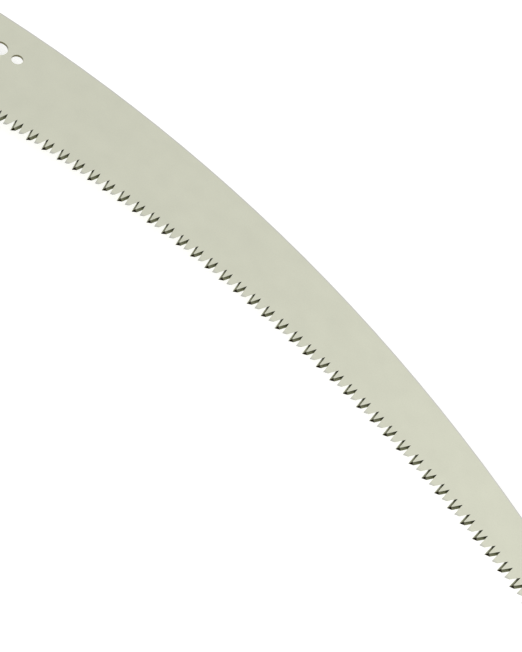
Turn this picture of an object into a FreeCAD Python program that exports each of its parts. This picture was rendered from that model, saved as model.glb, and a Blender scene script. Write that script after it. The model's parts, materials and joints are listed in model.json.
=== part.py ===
import FreeCAD, Part

import math
import os

import Sketcher
from FreeCAD import Placement, Rotation, Vector

# Telescoping pole saw, in millimetres.
# +X runs along the pole from the butt to the blade's tip, +Y points to the blade's back edge and
# +Z is up, square to the flat of the blade.  The origin is the middle of the butt's flat end.
# The saw is modelled collapsed, with both lever clamps shut.

SIZES = {
    # Three nested oval tubes, each a flattened ring with half-round sides.
    "tube_1_width": (40.0, "outer tube across its half-round sides, along Y"),
    "tube_1_height": (30.0, "outer tube across its flats, along Z"),
    "tube_1_wall": (1.5, "outer tube wall"),
    "tube_1_length": (800.0, "outer tube length"),
    "inner_wall": (1.4, "wall of the middle and inner tubes"),
    "tube_gap": (1.2, "gap all round between one tube and the next"),
    "slide_clearance": (0.3, "clearance of liners and bushes on the tube that slides"),
    "overcut": (1.0, "how far a cut starts or ends outside its piece"),
    "parked_gap": (3.0, "gap between one clamp and the next when collapsed"),
    "parked_inset": (10.0, "gap behind each inner tube's bush when collapsed"),
    # Butt cap and grips.
    "cap_length": (62.0, "butt cap over all"),
    "cap_floor": (22.0, "solid end of the butt cap, up to the tube"),
    "foot_wall": (6.0, "cap and clamp wall above and below the tube"),
    "side_wall": (4.0, "cap and clamp wall beside the tube"),
    "cap_corner": (9.0, "corner radius of the cap's and clamps' section"),
    "cap_edge": (2.0, "rounding of the cap's and clamps' rear rim"),
    "hang_hole": (9.0, "hanging hole diameter"),
    "grip_wall": (3.4, "grip wall"),
    "rib_height": (1.1, "height of a grip rib"),
    "rib_width": (5.0, "width of a grip rib"),
    "rib_pitch": (9.0, "distance from rib to rib"),
    "rear_grip_start": (66.0, "rear end of the rear grip"),
    "rear_grip_length": (184.0, "rear grip length"),
    "front_grip_start": (520.0, "rear end of the front grip"),
    "front_grip_length": (148.0, "front grip length"),
    # Lever clamps.
    "collar_heel": (34.0, "clamp body behind the end of its tube"),
    "collar_nose": (40.0, "clamp body in front of the end of its tube"),
    "ear_round": (4.0, "rounding of the ears' outer corners"),
    "liner_flange": (3.0, "thickness of the liner's flange"),
    "flange_reach": (2.0, "reach of the liner's flange past its bore in the clamp"),
    "slot": (3.0, "clamping slot"),
    "relief": (2.0, "cross cut that frees the clamping half"),
    "relief_start": (3.0, "cross cut in front of the tube's end"),
    "ear_start": (12.0, "rear face of the ears in front of the tube's end"),
    "ear_length": (24.0, "ear length along the tube"),
    "ear_reach": (17.0, "ear reach beyond the clamp's side"),
    "ear_rise": (8.0, "ear top above the slot's middle"),
    "ear_drop": (11.0, "ear underside below the slot's middle"),
    "bolt_setback": (8.5, "draw bolt axis inside the ear's outer end"),
    "draw_bolt": (5.0, "draw bolt diameter"),
    "bolt_clearance": (0.1, "radial clearance of a bolt in a plain hole"),
    "draw_head": (8.5, "draw bolt head diameter"),
    "draw_head_height": (4.0, "draw bolt head height"),
    "draw_key_depth": (2.4, "draw bolt's key socket depth"),
    "draw_end_gap": (0.5, "draw bolt's end below the top of the barrel"),
    "socket_key": (4.0, "hexagon key across flats"),
    "washer_thickness": (1.5, "wear plate under the cam"),
    "washer_width": (13.0, "wear plate along Y"),
    "washer_inset": (1.0, "wear plate inside the ears' two ends"),
    "cam_radius": (7.0, "cam radius"),
    "cam_offset": (0.6, "cam centre below its pivot"),
    "cam_gap": (0.15, "gap between the shut cam and its wear plate"),
    "barrel": (7.0, "cross barrel diameter"),
    "barrel_length": (26.0, "cross barrel length"),
    "running_fit": (0.05, "radial clearance of a part that turns"),
    "lever_width": (28.0, "lever width along the tube"),
    "lever_slot": (7.0, "slot in the cam for the draw bolt"),
    "lever_thickness": (4.0, "lever arm thickness"),
    "lever_lift": (0.6, "gap between the shut lever and the clamp"),
    "lever_wrap": (20.0, "length of the lever's turned-down end"),
    "lever_tab": (5.0, "outward reach of the lever's finger tab"),
    "tube_screw": (3.9, "tapping screw diameter"),
    "tube_screw_head": (7.2, "tapping screw head diameter"),
    "tube_screw_inset": (0.2, "tapping screw heads below the collar's side"),
    "tube_screw_socket": (2.7, "drive socket in a tapping screw"),
    "tube_screw_sink": (2.2, "depth of the recess for the screw's head"),
    "screw_setback": (17.0, "tapping screws behind the tube's end"),
    # Slide bushes.
    "bush_length": (26.0, "bush length over its tube"),
    "bush_lip": (2.0, "lip over the tube's end"),
    "plug_floor": (4.0, "closed end of the inner tube's plug"),
    "plug_depth": (14.0, "plug spigot inside the inner tube"),
    # Cast saw head.
    "socket_depth": (50.0, "inner tube's depth in the head"),
    "socket_wall": (4.0, "socket wall"),
    "socket_floor": (9.0, "casting between the socket and the tang"),
    "head_edge": (2.5, "rounding of the socket's front rim"),
    "tongue_width": (30.0, "tongue width"),
    "tongue_thickness": (8.0, "tongue thickness"),
    "gusset_width": (20.0, "width of the gusset under the tongue"),
    "gusset_drop": (12.5, "gusset's lowest line below the pole's axis"),
    "gusset_run": (6.0, "gusset's length in front of the socket"),
    "tongue_nose": (21.5, "tongue in front of the front blade bolt"),
    "tang_gap": (0.3, "gap between the tang and the socket"),
    "head_bolt": (5.0, "cross bolt diameter"),
    "head_bolt_head": (9.2, "cross bolt head diameter"),
    "head_bolt_rise": (2.8, "cross bolt head height"),
    "head_bolt_key": (3.0, "cross bolt's hexagon key across flats"),
    "head_bolt_end": (1.0, "cross bolt past its nut"),
    "head_bolt_edge": (14.0, "cross bolts from the socket's two ends"),
    "head_nut": (8.0, "cross bolt nut across flats"),
    "head_nut_height": (4.5, "cross bolt nut height"),
    # Blade.
    "blade_thickness": (1.4, "blade plate"),
    "tooth_radius": (751.8, "tooth line radius, at the middle height of the teeth"),
    "first_tooth_x": (12.52, "first tooth ahead of the larger spare hole"),
    "first_tooth_y": (38.44, "first tooth below the hole line"),
    "droop_angle": (12.563, "degrees that the chord of the tooth line falls below the hole line"),
    "back_radius": (804.4, "back edge radius"),
    "tooth_count": (86, "number of teeth"),
    "tooth_pitch": (4.715, "tooth pitch"),
    "tooth_rise": (1.9, "ground tips beyond the tooth line, at the middle of the plate"),
    "gullet_depth": (4.7, "gullet bottoms inside the tooth line"),
    "gullet_bottom": (2.16, "gullet bottom ahead of its tooth"),
    "gullet_rear": (0.38, "gullet's rear flank on the tooth line"),
    "gullet_front": (3.1, "gullet's front flank on the tooth line"),
    "flank_bevel": (1.12, "sideways slant of a flank through the plate"),
    "tip_lead": (1.52, "tooth tip's lean towards the pole"),
    "tip_slope": (0.69, "slope of the ground tip"),
    "tip_bevel": (1.1, "slant of the ground tip through the plate"),
    "heel_edge": (2.2, "blade behind its first tooth"),
    "toe_edge": (3.0, "blade ahead of its last tooth"),
    "toe_width": (24.2, "toe's back corner across from its tooth corner"),
    "toe_setback": (7.0, "toe's back corner behind its tooth corner"),
    "toe_round": (9.0, "rounding of the toe's back corner"),
    "tang_length": (82.0, "tang behind the larger spare hole"),
    "tang_width": (34.0, "tang width"),
    "tang_round": (5.0, "rounding of the tang's rear corners"),
    "back_shoulder": (34.0, "where the back edge steps down to the tang"),
    "back_height": (20.75, "back edge above the hole line at that step"),
    "shoulder_run": (16.0, "length of that step"),
    "heel_start": (38.0, "where the tang's underside flares to the heel"),
    "heel_round": (40.0, "fillet of that flare"),
    "large_hole": (9.5, "larger spare hole"),
    "small_hole": (6.35, "smaller spare hole"),
    "spare_spacing": (11.4, "distance between the spare holes"),
    "front_bolt": (30.0, "front blade bolt behind the larger spare hole"),
    "bolt_spacing": (38.0, "distance between the blade bolts"),
    "blade_bolt": (6.0, "blade bolt diameter"),
    "blade_bolt_head": (14.0, "blade bolt's domed head"),
    "blade_bolt_dome": (3.0, "height of that head"),
    "neck_depth": (4.0, "square neck under that head"),
    "bolt_tail": (14.5, "blade bolt's end above the pole's axis"),
    "plate_thickness": (3.0, "clamp plate"),
    "plate_width": (28.0, "clamp plate width"),
    "washer": (13.0, "blade washer diameter"),
    "nut_gap": (0.1, "gap under a wing nut"),
    "hub_radius": (5.6, "wing nut hub radius"),
    "hub_height": (6.5, "wing nut hub height"),
    "wing_radius": (5.2, "wing radius"),
    "wing_thickness": (2.4, "wing thickness"),
    "wing_reach": (9.0, "wing centre from the bolt"),
    "wing_rise": (8.0, "wing centre above the hub's base"),
}

doc = FreeCAD.newDocument("PoleSaw")
sheet = doc.addObject("Spreadsheet::Sheet", "sheet")
for row, (name, (number, meaning)) in enumerate(SIZES.items(), start=1):
    sheet.set(f"A{row}", name)
    sheet.set(f"B{row}", str(number))
    sheet.setAlias(f"B{row}", name)
    sheet.set(f"C{row}", meaning)
doc.recompute()


def size(name):
    """The number that the sheet holds under an alias."""
    return float(sheet.get(name))


# Sizes that follow from the sheet, as expressions.
TUBE_2_WIDTH = "(sheet.tube_1_width - 2 * sheet.tube_1_wall - 2 * sheet.tube_gap)"
TUBE_2_HEIGHT = "(sheet.tube_1_height - 2 * sheet.tube_1_wall - 2 * sheet.tube_gap)"
NEST = "(2 * sheet.inner_wall + 2 * sheet.tube_gap)"
TUBE_3_WIDTH = f"({TUBE_2_WIDTH} - {NEST})"
TUBE_3_HEIGHT = f"({TUBE_2_HEIGHT} - {NEST})"
TUBES = {
    1: ("sheet.tube_1_width", "sheet.tube_1_height", "sheet.tube_1_wall"),
    2: (TUBE_2_WIDTH, TUBE_2_HEIGHT, "sheet.inner_wall"),
    3: (TUBE_3_WIDTH, TUBE_3_HEIGHT, "sheet.inner_wall"),
}

# Stations along the pole, as expressions.
CLAMP_FRONT = "(sheet.collar_nose + sheet.liner_flange + sheet.parked_gap)"
TUBE_1_END = "(sheet.cap_floor + sheet.tube_1_length)"
TUBE_2_START = "(sheet.cap_floor + sheet.parked_inset + sheet.bush_lip)"
TUBE_2_END = f"({TUBE_1_END} + {CLAMP_FRONT} + sheet.collar_heel)"
TUBE_3_START = f"({TUBE_2_START} + sheet.parked_inset + sheet.plug_floor)"
HEAD_START = f"({TUBE_2_END} + {CLAMP_FRONT})"
TUBE_3_END = f"({HEAD_START} + sheet.socket_depth)"
TUBE_ENDS = {1: TUBE_1_END, 2: TUBE_2_END}

# Stations inside the saw head, from its rear face.
SEAT = "(sheet.socket_depth + sheet.socket_floor)"
SPARE_HOLE = f"({SEAT} + sheet.tang_gap + sheet.tang_length)"
FRONT_BOLT = f"({SPARE_HOLE} - sheet.front_bolt)"
REAR_BOLT = f"({FRONT_BOLT} - sheet.bolt_spacing)"
TONGUE_TOP = "(-sheet.blade_thickness / 2)"
TONGUE_MIDDLE = f"({TONGUE_TOP} - sheet.tongue_thickness / 2)"
TONGUE_BOTTOM = f"({TONGUE_TOP} - sheet.tongue_thickness)"
PLATE_TOP = "(sheet.blade_thickness / 2 + sheet.plate_thickness)"

# Places on a clamp, from the middle of its tube's end.
BOLT_HOLE = "(sheet.draw_bolt + 2 * sheet.bolt_clearance)"
EAR_MIDDLE = "(sheet.ear_start + sheet.ear_length / 2)"
WASHER_TOP = "(sheet.ear_rise + sheet.washer_thickness)"
PIVOT_Z = f"({WASHER_TOP} + sheet.cam_gap + sheet.cam_radius + sheet.cam_offset)"


def clamp_side(tube):
    """Half the width of a clamp body, or of the butt cap."""
    return f"({TUBES[tube][0]} / 2 + sheet.side_wall)"


def clamp_top(tube):
    """Half the height of a clamp body, or of the butt cap."""
    return f"({TUBES[tube][1]} / 2 + sheet.foot_wall)"


def pivot_y(tube):
    """The draw bolt's and the lever pivot's distance beside the pole's axis."""
    return f"({clamp_side(tube)} + sheet.ear_reach - sheet.bolt_setback)"


# Sketching and modelling helpers.

def new_body(label, x="0", y="0", z="0"):
    body = doc.addObject("PartDesign::Body", label)
    body.Label = label
    place(body, x, y, z)
    return body


def place(item, x="0", y="0", z="0"):
    for axis, expression in zip("xyz", (x, y, z)):
        item.setExpression(f"Placement.Base.{axis}", expression)


def sketch_on(body, role, station="0", shift_x="0", shift_y="0"):
    """A sketch on one of the body's origin planes, moved to a station along its normal."""
    plane = next(item for item in body.Origin.OriginFeatures if item.Role == role)
    sketch = body.newObject("Sketcher::SketchObject", f"{body.Name}_sketch")
    sketch.AttachmentSupport = [(plane, "")]
    sketch.MapMode = "FlatFace"
    sketch.setExpression("AttachmentOffset.Base.x", shift_x)
    sketch.setExpression("AttachmentOffset.Base.y", shift_y)
    sketch.setExpression("AttachmentOffset.Base.z", station)
    return sketch


def measure(sketch, kind, *places, drawn, bound):
    """Add a dimension at the value it is drawn with, and bind it to an expression."""
    index = sketch.addConstraint(Sketcher.Constraint(kind, *places, drawn))
    sketch.setExpression(f"Constraints[{index}]", bound)


def add_oval(sketch, width, height):
    """Two half circles joined by two straight lines, centred on the sketch's origin."""
    reach, radius = 5.0, 10.0
    right = Part.ArcOfCircle(Part.Circle(Vector(reach, 0, 0), Vector(0, 0, 1), radius),
                             -math.pi / 2, math.pi / 2)
    left = Part.ArcOfCircle(Part.Circle(Vector(-reach, 0, 0), Vector(0, 0, 1), radius),
                            math.pi / 2, 3 * math.pi / 2)
    top = Part.LineSegment(Vector(reach, radius, 0), Vector(-reach, radius, 0))
    bottom = Part.LineSegment(Vector(-reach, -radius, 0), Vector(reach, -radius, 0))
    ring = [sketch.addGeometry(item) for item in (right, top, left, bottom)]
    for current, following in zip(ring, ring[1:] + ring[:1]):
        sketch.addConstraint(Sketcher.Constraint("Tangent", current, 2, following, 1))
    sketch.addConstraint(Sketcher.Constraint("Horizontal", ring[1]))
    sketch.addConstraint(Sketcher.Constraint("PointOnObject", ring[0], 3, -1))
    sketch.addConstraint(Sketcher.Constraint("Symmetric", ring[0], 3, ring[2], 3, -1, 1))
    measure(sketch, "Radius", ring[0], drawn=radius, bound=f"({height}) / 2")
    measure(sketch, "DistanceX", ring[2], 3, ring[0], 3, drawn=2 * reach, bound=f"({width}) - ({height})")


def add_polygon(sketch, points):
    """A closed run of straight lines through points given as pairs of expressions."""
    rough = [Vector(10 * math.cos(a), 10 * math.sin(a), 0)
             for a in (2 * math.pi * i / len(points) for i in range(len(points)))]
    lines = [sketch.addGeometry(Part.LineSegment(a, b))
             for a, b in zip(rough, rough[1:] + rough[:1])]
    for current, following in zip(lines, lines[1:] + lines[:1]):
        sketch.addConstraint(Sketcher.Constraint("Coincident", current, 2, following, 1))
    for line, corner, (x, y) in zip(lines, rough, points):
        measure(sketch, "DistanceX", -1, 1, line, 1, drawn=corner.x, bound=x)
        measure(sketch, "DistanceY", -1, 1, line, 1, drawn=corner.y, bound=y)


def add_box(sketch, low_x, high_x, low_y, high_y):
    add_polygon(sketch, [(low_x, low_y), (high_x, low_y), (high_x, high_y), (low_x, high_y)])


def add_circle(sketch, diameter, x="0", y="0"):
    radius = 1.0
    circle = sketch.addGeometry(Part.Circle(Vector(radius, radius, 0), Vector(0, 0, 1), radius))
    measure(sketch, "Diameter", circle, drawn=2 * radius, bound=diameter)
    measure(sketch, "DistanceX", -1, 1, circle, 3, drawn=radius, bound=x)
    measure(sketch, "DistanceY", -1, 1, circle, 3, drawn=radius, bound=y)


def pad(body, sketch, length, both_ways=False):
    feature = body.newObject("PartDesign::Pad", f"{body.Name}_pad")
    feature.Profile = sketch
    feature.SideType = "Symmetric" if both_ways else "One side"
    feature.setExpression("Length", length)
    return feature


def pocket(body, sketch, length, both_ways=False):
    """Cut along the sketch's normal, or both ways from it."""
    feature = body.newObject("PartDesign::Pocket", f"{body.Name}_pocket")
    feature.Profile = sketch
    feature.SideType = "Symmetric" if both_ways else "One side"
    feature.Reversed = True
    feature.setExpression("Length", length)
    return feature


def round_edges(body, chosen, radius):
    """Fillet those edges of the body's last feature that chosen picks, given the body's bounds."""
    doc.recompute()
    base = body.Tip
    bounds = base.Shape.BoundBox
    names = [f"Edge{i}" for i, edge in enumerate(base.Shape.Edges, start=1) if chosen(edge, bounds)]
    feature = body.newObject("PartDesign::Fillet", f"{body.Name}_fillet")
    feature.Base = (base, names)
    feature.setExpression("Radius", radius)
    return feature


def runs(edge, axis):
    """Whether an edge is straight and parallel to an axis."""
    return edge.Curve.TypeId == "Part::GeomLine" and abs(edge.tangentAt(edge.FirstParameter) * axis) > 0.99


def lengthwise(edge, bounds):
    return runs(edge, Vector(1, 0, 0))


def at_rear(edge, bounds):
    return all(abs(vertex.X - bounds.XMin) < 1e-6 for vertex in edge.Vertexes)


def at_front(edge, bounds):
    return all(abs(vertex.X - bounds.XMax) < 1e-6 for vertex in edge.Vertexes)


def outer_uprights(edge, bounds):
    return runs(edge, Vector(0, 0, 1)) and edge.CenterOfMass.y > bounds.YMax - 0.01


def cylinder(name, diameter, length, x="0", y="0", z="0", along="Z"):
    item = doc.addObject("Part::Cylinder", name)
    item.setExpression("Radius", f"({diameter}) / 2")
    item.setExpression("Height", length)
    turns = {"X": Rotation(Vector(0, 1, 0), 90), "Y": Rotation(Vector(1, 0, 0), -90), "Z": Rotation()}
    item.Placement = Placement(Vector(), turns[along])
    place(item, x, y, z)
    return item


def box(name, length, width, height, x="0", y="0", z="0"):
    """A block centred on x and y that stands on z."""
    item = doc.addObject("Part::Box", name)
    item.setExpression("Length", length)
    item.setExpression("Width", width)
    item.setExpression("Height", height)
    place(item, f"({x}) - ({length}) / 2", f"({y}) - ({width}) / 2", z)
    return item


def prism(name, across_flats, length, x="0", y="0", z="0"):
    item = doc.addObject("Part::Prism", name)
    item.Polygon = 6
    item.setExpression("Circumradius", f"({across_flats}) / 2 / cos(30)")
    item.setExpression("Height", length)
    place(item, x, y, z)
    return item


def fuse(name, *shapes):
    item = doc.addObject("Part::MultiFuse", name)
    item.Shapes = list(shapes)
    return item


def cut(name, base, *tools):
    item = doc.addObject("Part::Cut", name)
    item.Base = base
    item.Tool = tools[0] if len(tools) == 1 else fuse(f"{name}_tools", *tools)
    return item


def group(name, *shapes):
    """Identical fasteners that share one node."""
    item = doc.addObject("Part::Compound", name)
    item.Links = list(shapes)
    item.Label = name
    return item


# Pole.

def build_end_cap():
    body = new_body("end_cap")
    add_housing(body, 1, "0", "sheet.cap_length")
    bore = sketch_on(body, "YZ_Plane", "sheet.cap_floor")
    add_oval(bore, *TUBES[1][:2])
    pocket(body, bore, "sheet.cap_length - sheet.cap_floor")
    hole = sketch_on(body, "XY_Plane")
    add_circle(hole, "sheet.hang_hole", "sheet.cap_floor / 2")
    pocket(body, hole, f"4 * {clamp_top(1)}", both_ways=True)
    return body


def add_housing(body, tube, station, length):
    """The block with rounded corners that a butt cap or a clamp is cut from."""
    side, top = clamp_side(tube), clamp_top(tube)
    section = sketch_on(body, "YZ_Plane", station)
    add_box(section, f"-{side}", side, f"-{top}", top)
    pad(body, section, length)
    round_edges(body, lengthwise, "sheet.cap_corner")
    round_edges(body, at_rear, "sheet.cap_edge")


def build_tube(label, tube, start, end):
    width, height, wall = TUBES[tube]
    body = new_body(label, x=start)
    section = sketch_on(body, "YZ_Plane")
    add_oval(section, width, height)
    add_oval(section, f"{width} - 2 * {wall}", f"{height} - 2 * {wall}")
    pad(body, section, f"{end} - {start}")
    return body


def drill_tube(body, role, diameter, stations, depth):
    """Cross holes through both walls of a tube, at stations from its rear end."""
    for station in stations:
        hole = sketch_on(body, role)
        add_circle(hole, diameter, station)
        pocket(body, hole, depth, both_ways=True)


def build_tubes():
    outer = build_tube("outer_tube", 1, "sheet.cap_floor", TUBE_1_END)
    middle = build_tube("middle_tube", 2, TUBE_2_START, TUBE_2_END)
    inner = build_tube("inner_tube", 3, TUBE_3_START, TUBE_3_END)
    for body, start, end in ((outer, "sheet.cap_floor", TUBE_1_END), (middle, TUBE_2_START, TUBE_2_END)):
        station = f"{end} - {start} - sheet.screw_setback"
        drill_tube(body, "XZ_Plane", "sheet.tube_screw", [station], "2 * sheet.tube_1_width")
    stations = [f"{HEAD_START} - {TUBE_3_START} + {offset}" for offset in head_bolt_stations()]
    hole = "sheet.head_bolt + 2 * sheet.bolt_clearance"
    drill_tube(inner, "XY_Plane", hole, stations, "2 * sheet.tube_1_height")
    return [outer, middle, inner]


def build_grip(label, start, length):
    width, height, _ = TUBES[1]
    body = new_body(label, x=start)
    section = sketch_on(body, "YZ_Plane")
    add_oval(section, f"{width} + 2 * sheet.grip_wall", f"{height} + 2 * sheet.grip_wall")
    add_oval(section, width, height)
    pad(body, section, length)
    ring = sketch_on(body, "YZ_Plane", "(sheet.rib_pitch - sheet.rib_width) / 2")
    reach = "2 * (sheet.grip_wall + sheet.rib_height)"
    add_oval(ring, f"{width} + {reach}", f"{height} + {reach}")
    add_oval(ring, width, height)
    rib = pad(body, ring, "sheet.rib_width")
    ribs = body.newObject("PartDesign::LinearPattern", f"{label}_ribs")
    ribs.Originals = [rib]
    axis = next(item for item in body.Origin.OriginFeatures if item.Role == "X_Axis")
    ribs.Direction = (axis, [""])
    ribs.setExpression("Occurrences", f"floor({length} / sheet.rib_pitch)")
    ribs.setExpression("Length", f"(floor({length} / sheet.rib_pitch) - 1) * sheet.rib_pitch")
    body.Tip = ribs
    return body


def build_guide_bush():
    """A sleeve round the hidden end of the middle tube, with a lip over its edge."""
    width, height, wall = TUBES[2]
    body = new_body("guide_bush_2", x=f"{TUBE_2_START} - sheet.bush_lip")
    room = "2 * (sheet.tube_gap - sheet.slide_clearance)"
    ring = sketch_on(body, "YZ_Plane")
    add_oval(ring, f"{width} + {room}", f"{height} + {room}")
    add_oval(ring, f"{width} - 2 * {wall}", f"{height} - 2 * {wall}")
    pad(body, ring, "sheet.bush_lip + sheet.bush_length")
    seat = sketch_on(body, "YZ_Plane", "sheet.bush_lip")
    add_oval(seat, width, height)
    pocket(body, seat, "sheet.bush_length")
    return body


def build_end_plug():
    """A closed plug in the hidden end of the inner tube, with a sleeve round it."""
    width, height, wall = TUBES[3]
    body = new_body("end_plug_3", x=f"{TUBE_3_START} - sheet.plug_floor")
    room = "2 * (sheet.tube_gap - sheet.slide_clearance)"
    block = sketch_on(body, "YZ_Plane")
    add_oval(block, f"{width} + {room}", f"{height} + {room}")
    pad(body, block, "sheet.plug_floor + sheet.bush_length")
    seat = sketch_on(body, "YZ_Plane", "sheet.plug_floor")
    add_oval(seat, width, height)
    pocket(body, seat, "sheet.bush_length")
    spigot = sketch_on(body, "YZ_Plane", "sheet.plug_floor")
    add_oval(spigot, f"{width} - 2 * {wall}", f"{height} - 2 * {wall}")
    pad(body, spigot, "sheet.plug_depth")
    return body


# Lever clamps.  Each is drawn from the middle of its tube's front end.

def build_collar(tube):
    width, height, _ = TUBES[tube]
    side, top = clamp_side(tube), clamp_top(tube)
    body = new_body(f"collar_{tube}", x=TUBE_ENDS[tube])
    add_housing(body, tube, "-sheet.collar_heel", "sheet.collar_heel + sheet.collar_nose")
    ears = sketch_on(body, "YZ_Plane", "sheet.ear_start")
    add_box(ears, "0", f"{side} + sheet.ear_reach", "-sheet.ear_drop", "sheet.ear_rise")
    pad(body, ears, "sheet.ear_length")
    round_edges(body, outer_uprights, "sheet.ear_round")
    bore = sketch_on(body, "YZ_Plane", "-sheet.collar_heel - sheet.overcut")
    add_oval(bore, width, height)
    pocket(body, bore, "sheet.collar_heel + sheet.collar_nose + 2 * sheet.overcut")
    slot = sketch_on(body, "YZ_Plane", "sheet.relief_start")
    beyond = f"{side} + sheet.ear_reach + sheet.overcut"
    add_box(slot, "0", beyond, "-sheet.slot / 2", "sheet.slot / 2")
    pocket(body, slot, "sheet.collar_nose")
    relief = sketch_on(body, "YZ_Plane", "sheet.relief_start")
    above = f"{top} + sheet.overcut"
    add_box(relief, "0", f"{side} + sheet.overcut", f"-({above})", above)
    pocket(body, relief, "sheet.relief")
    bolt = sketch_on(body, "XY_Plane")
    add_circle(bolt, BOLT_HOLE, EAR_MIDDLE, pivot_y(tube))
    pocket(body, bolt, f"4 * {top}", both_ways=True)
    screw = sketch_on(body, "XZ_Plane")
    add_circle(screw, "sheet.tube_screw", "-sheet.screw_setback")
    pocket(body, screw, f"4 * {side}", both_ways=True)
    for direction in (1, -1):
        recess = sketch_on(body, "XZ_Plane", f"{direction} * ({side} - sheet.tube_screw_sink)")
        add_circle(recess, "sheet.tube_screw_head + 2 * sheet.bolt_clearance", "-sheet.screw_setback")
        feature = pocket(body, recess, "2 * sheet.tube_screw_sink")
        feature.Reversed = direction > 0
    return body


def build_liner(tube):
    width, height, _ = TUBES[tube]
    inner_width, inner_height, _ = TUBES[tube + 1]
    body = new_body(f"collar_liner_{tube}", x=TUBE_ENDS[tube])
    outer = sketch_on(body, "YZ_Plane")
    add_oval(outer, width, height)
    pad(body, outer, "sheet.collar_nose")
    flange = sketch_on(body, "YZ_Plane", "sheet.collar_nose")
    add_oval(flange, f"{width} + 2 * sheet.flange_reach", f"{height} + 2 * sheet.flange_reach")
    pad(body, flange, "sheet.liner_flange")
    bore = sketch_on(body, "YZ_Plane")
    room = "2 * sheet.slide_clearance"
    add_oval(bore, f"{inner_width} + {room}", f"{inner_height} + {room}")
    pocket(body, bore, "sheet.collar_nose + sheet.liner_flange")
    slot = sketch_on(body, "YZ_Plane")
    add_box(slot, "0", width, "-sheet.slot / 2", "sheet.slot / 2")
    pocket(body, slot, "sheet.collar_nose + sheet.liner_flange")
    return body


def build_collar_screws(tube):
    """Two tapping screws that come in from the sides and end flush with the tube's bore."""
    _, _, wall = TUBES[tube]
    side = clamp_side(tube)
    inside = f"({TUBES[tube][0]} / 2 - {wall})"
    screws = []
    for direction in (1, -1):
        name = f"collar_screw_{tube}_{'left' if direction > 0 else 'right'}"
        station = f"{TUBE_ENDS[tube]} - sheet.screw_setback"
        head_low = f"({side} - sheet.tube_screw_sink)"
        start = inside if direction > 0 else f"-{head_low}"
        shank = cylinder(f"{name}_shank", "sheet.tube_screw", f"{head_low} - {inside}",
                         station, start, along="Y")
        head_start = head_low if direction > 0 else f"-{side} + sheet.tube_screw_inset"
        head = cylinder(f"{name}_head", "sheet.tube_screw_head",
                        "sheet.tube_screw_sink - sheet.tube_screw_inset", station, head_start, along="Y")
        solid = fuse(f"{name}_solid", shank, head)
        recess_y = f"{side} - sheet.tube_screw_sink / 2" if direction > 0 else f"-{side} - sheet.overcut"
        recess = cylinder(f"{name}_recess", "sheet.tube_screw_socket",
                          "sheet.tube_screw_sink / 2 + sheet.overcut", station, recess_y, along="Y")
        screws.append(cut(name, solid, recess))
    return group(f"collar_screws_{tube}", *screws)


def build_draw_bolt(tube):
    x, y = f"{TUBE_ENDS[tube]} + {EAR_MIDDLE}", pivot_y(tube)
    bottom = "-sheet.ear_drop"
    shank = cylinder(f"draw_shank_{tube}", "sheet.draw_bolt",
                     f"sheet.ear_drop + {PIVOT_Z} + sheet.barrel / 2 - sheet.draw_end_gap", x, y, bottom)
    head = cylinder(f"draw_head_{tube}", "sheet.draw_head", "sheet.draw_head_height",
                    x, y, f"{bottom} - sheet.draw_head_height")
    key = prism(f"draw_key_{tube}", "sheet.socket_key", "sheet.draw_key_depth",
                x, y, f"{bottom} - sheet.draw_head_height")
    bolt = cut(f"draw_bolt_{tube}", fuse(f"draw_solid_{tube}", shank, head), key)
    bolt.Label = f"draw_bolt_{tube}"
    return bolt


def build_cam_barrel(tube):
    x, y = f"{TUBE_ENDS[tube]} + {EAR_MIDDLE}", pivot_y(tube)
    rod = cylinder(f"barrel_rod_{tube}", "sheet.barrel", "sheet.barrel_length",
                   f"{x} - sheet.barrel_length / 2", y, PIVOT_Z, along="X")
    thread = cylinder(f"barrel_thread_{tube}", "sheet.draw_bolt", "2 * sheet.barrel",
                      x, y, f"{PIVOT_Z} - sheet.barrel")
    barrel = cut(f"cam_barrel_{tube}", rod, thread)
    barrel.Label = f"cam_barrel_{tube}"
    return barrel


def build_cam_washer(tube):
    x, y = f"{TUBE_ENDS[tube]} + {EAR_MIDDLE}", pivot_y(tube)
    plate = box(f"washer_plate_{tube}", "sheet.ear_length - 2 * sheet.washer_inset", "sheet.washer_width",
                "sheet.washer_thickness", x, y, "sheet.ear_rise")
    hole = cylinder(f"washer_hole_{tube}", BOLT_HOLE, "3 * sheet.washer_thickness",
                    x, y, "sheet.ear_rise - sheet.washer_thickness")
    washer = cut(f"cam_washer_{tube}", plate, hole)
    washer.Label = f"cam_washer_{tube}"
    return washer


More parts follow.
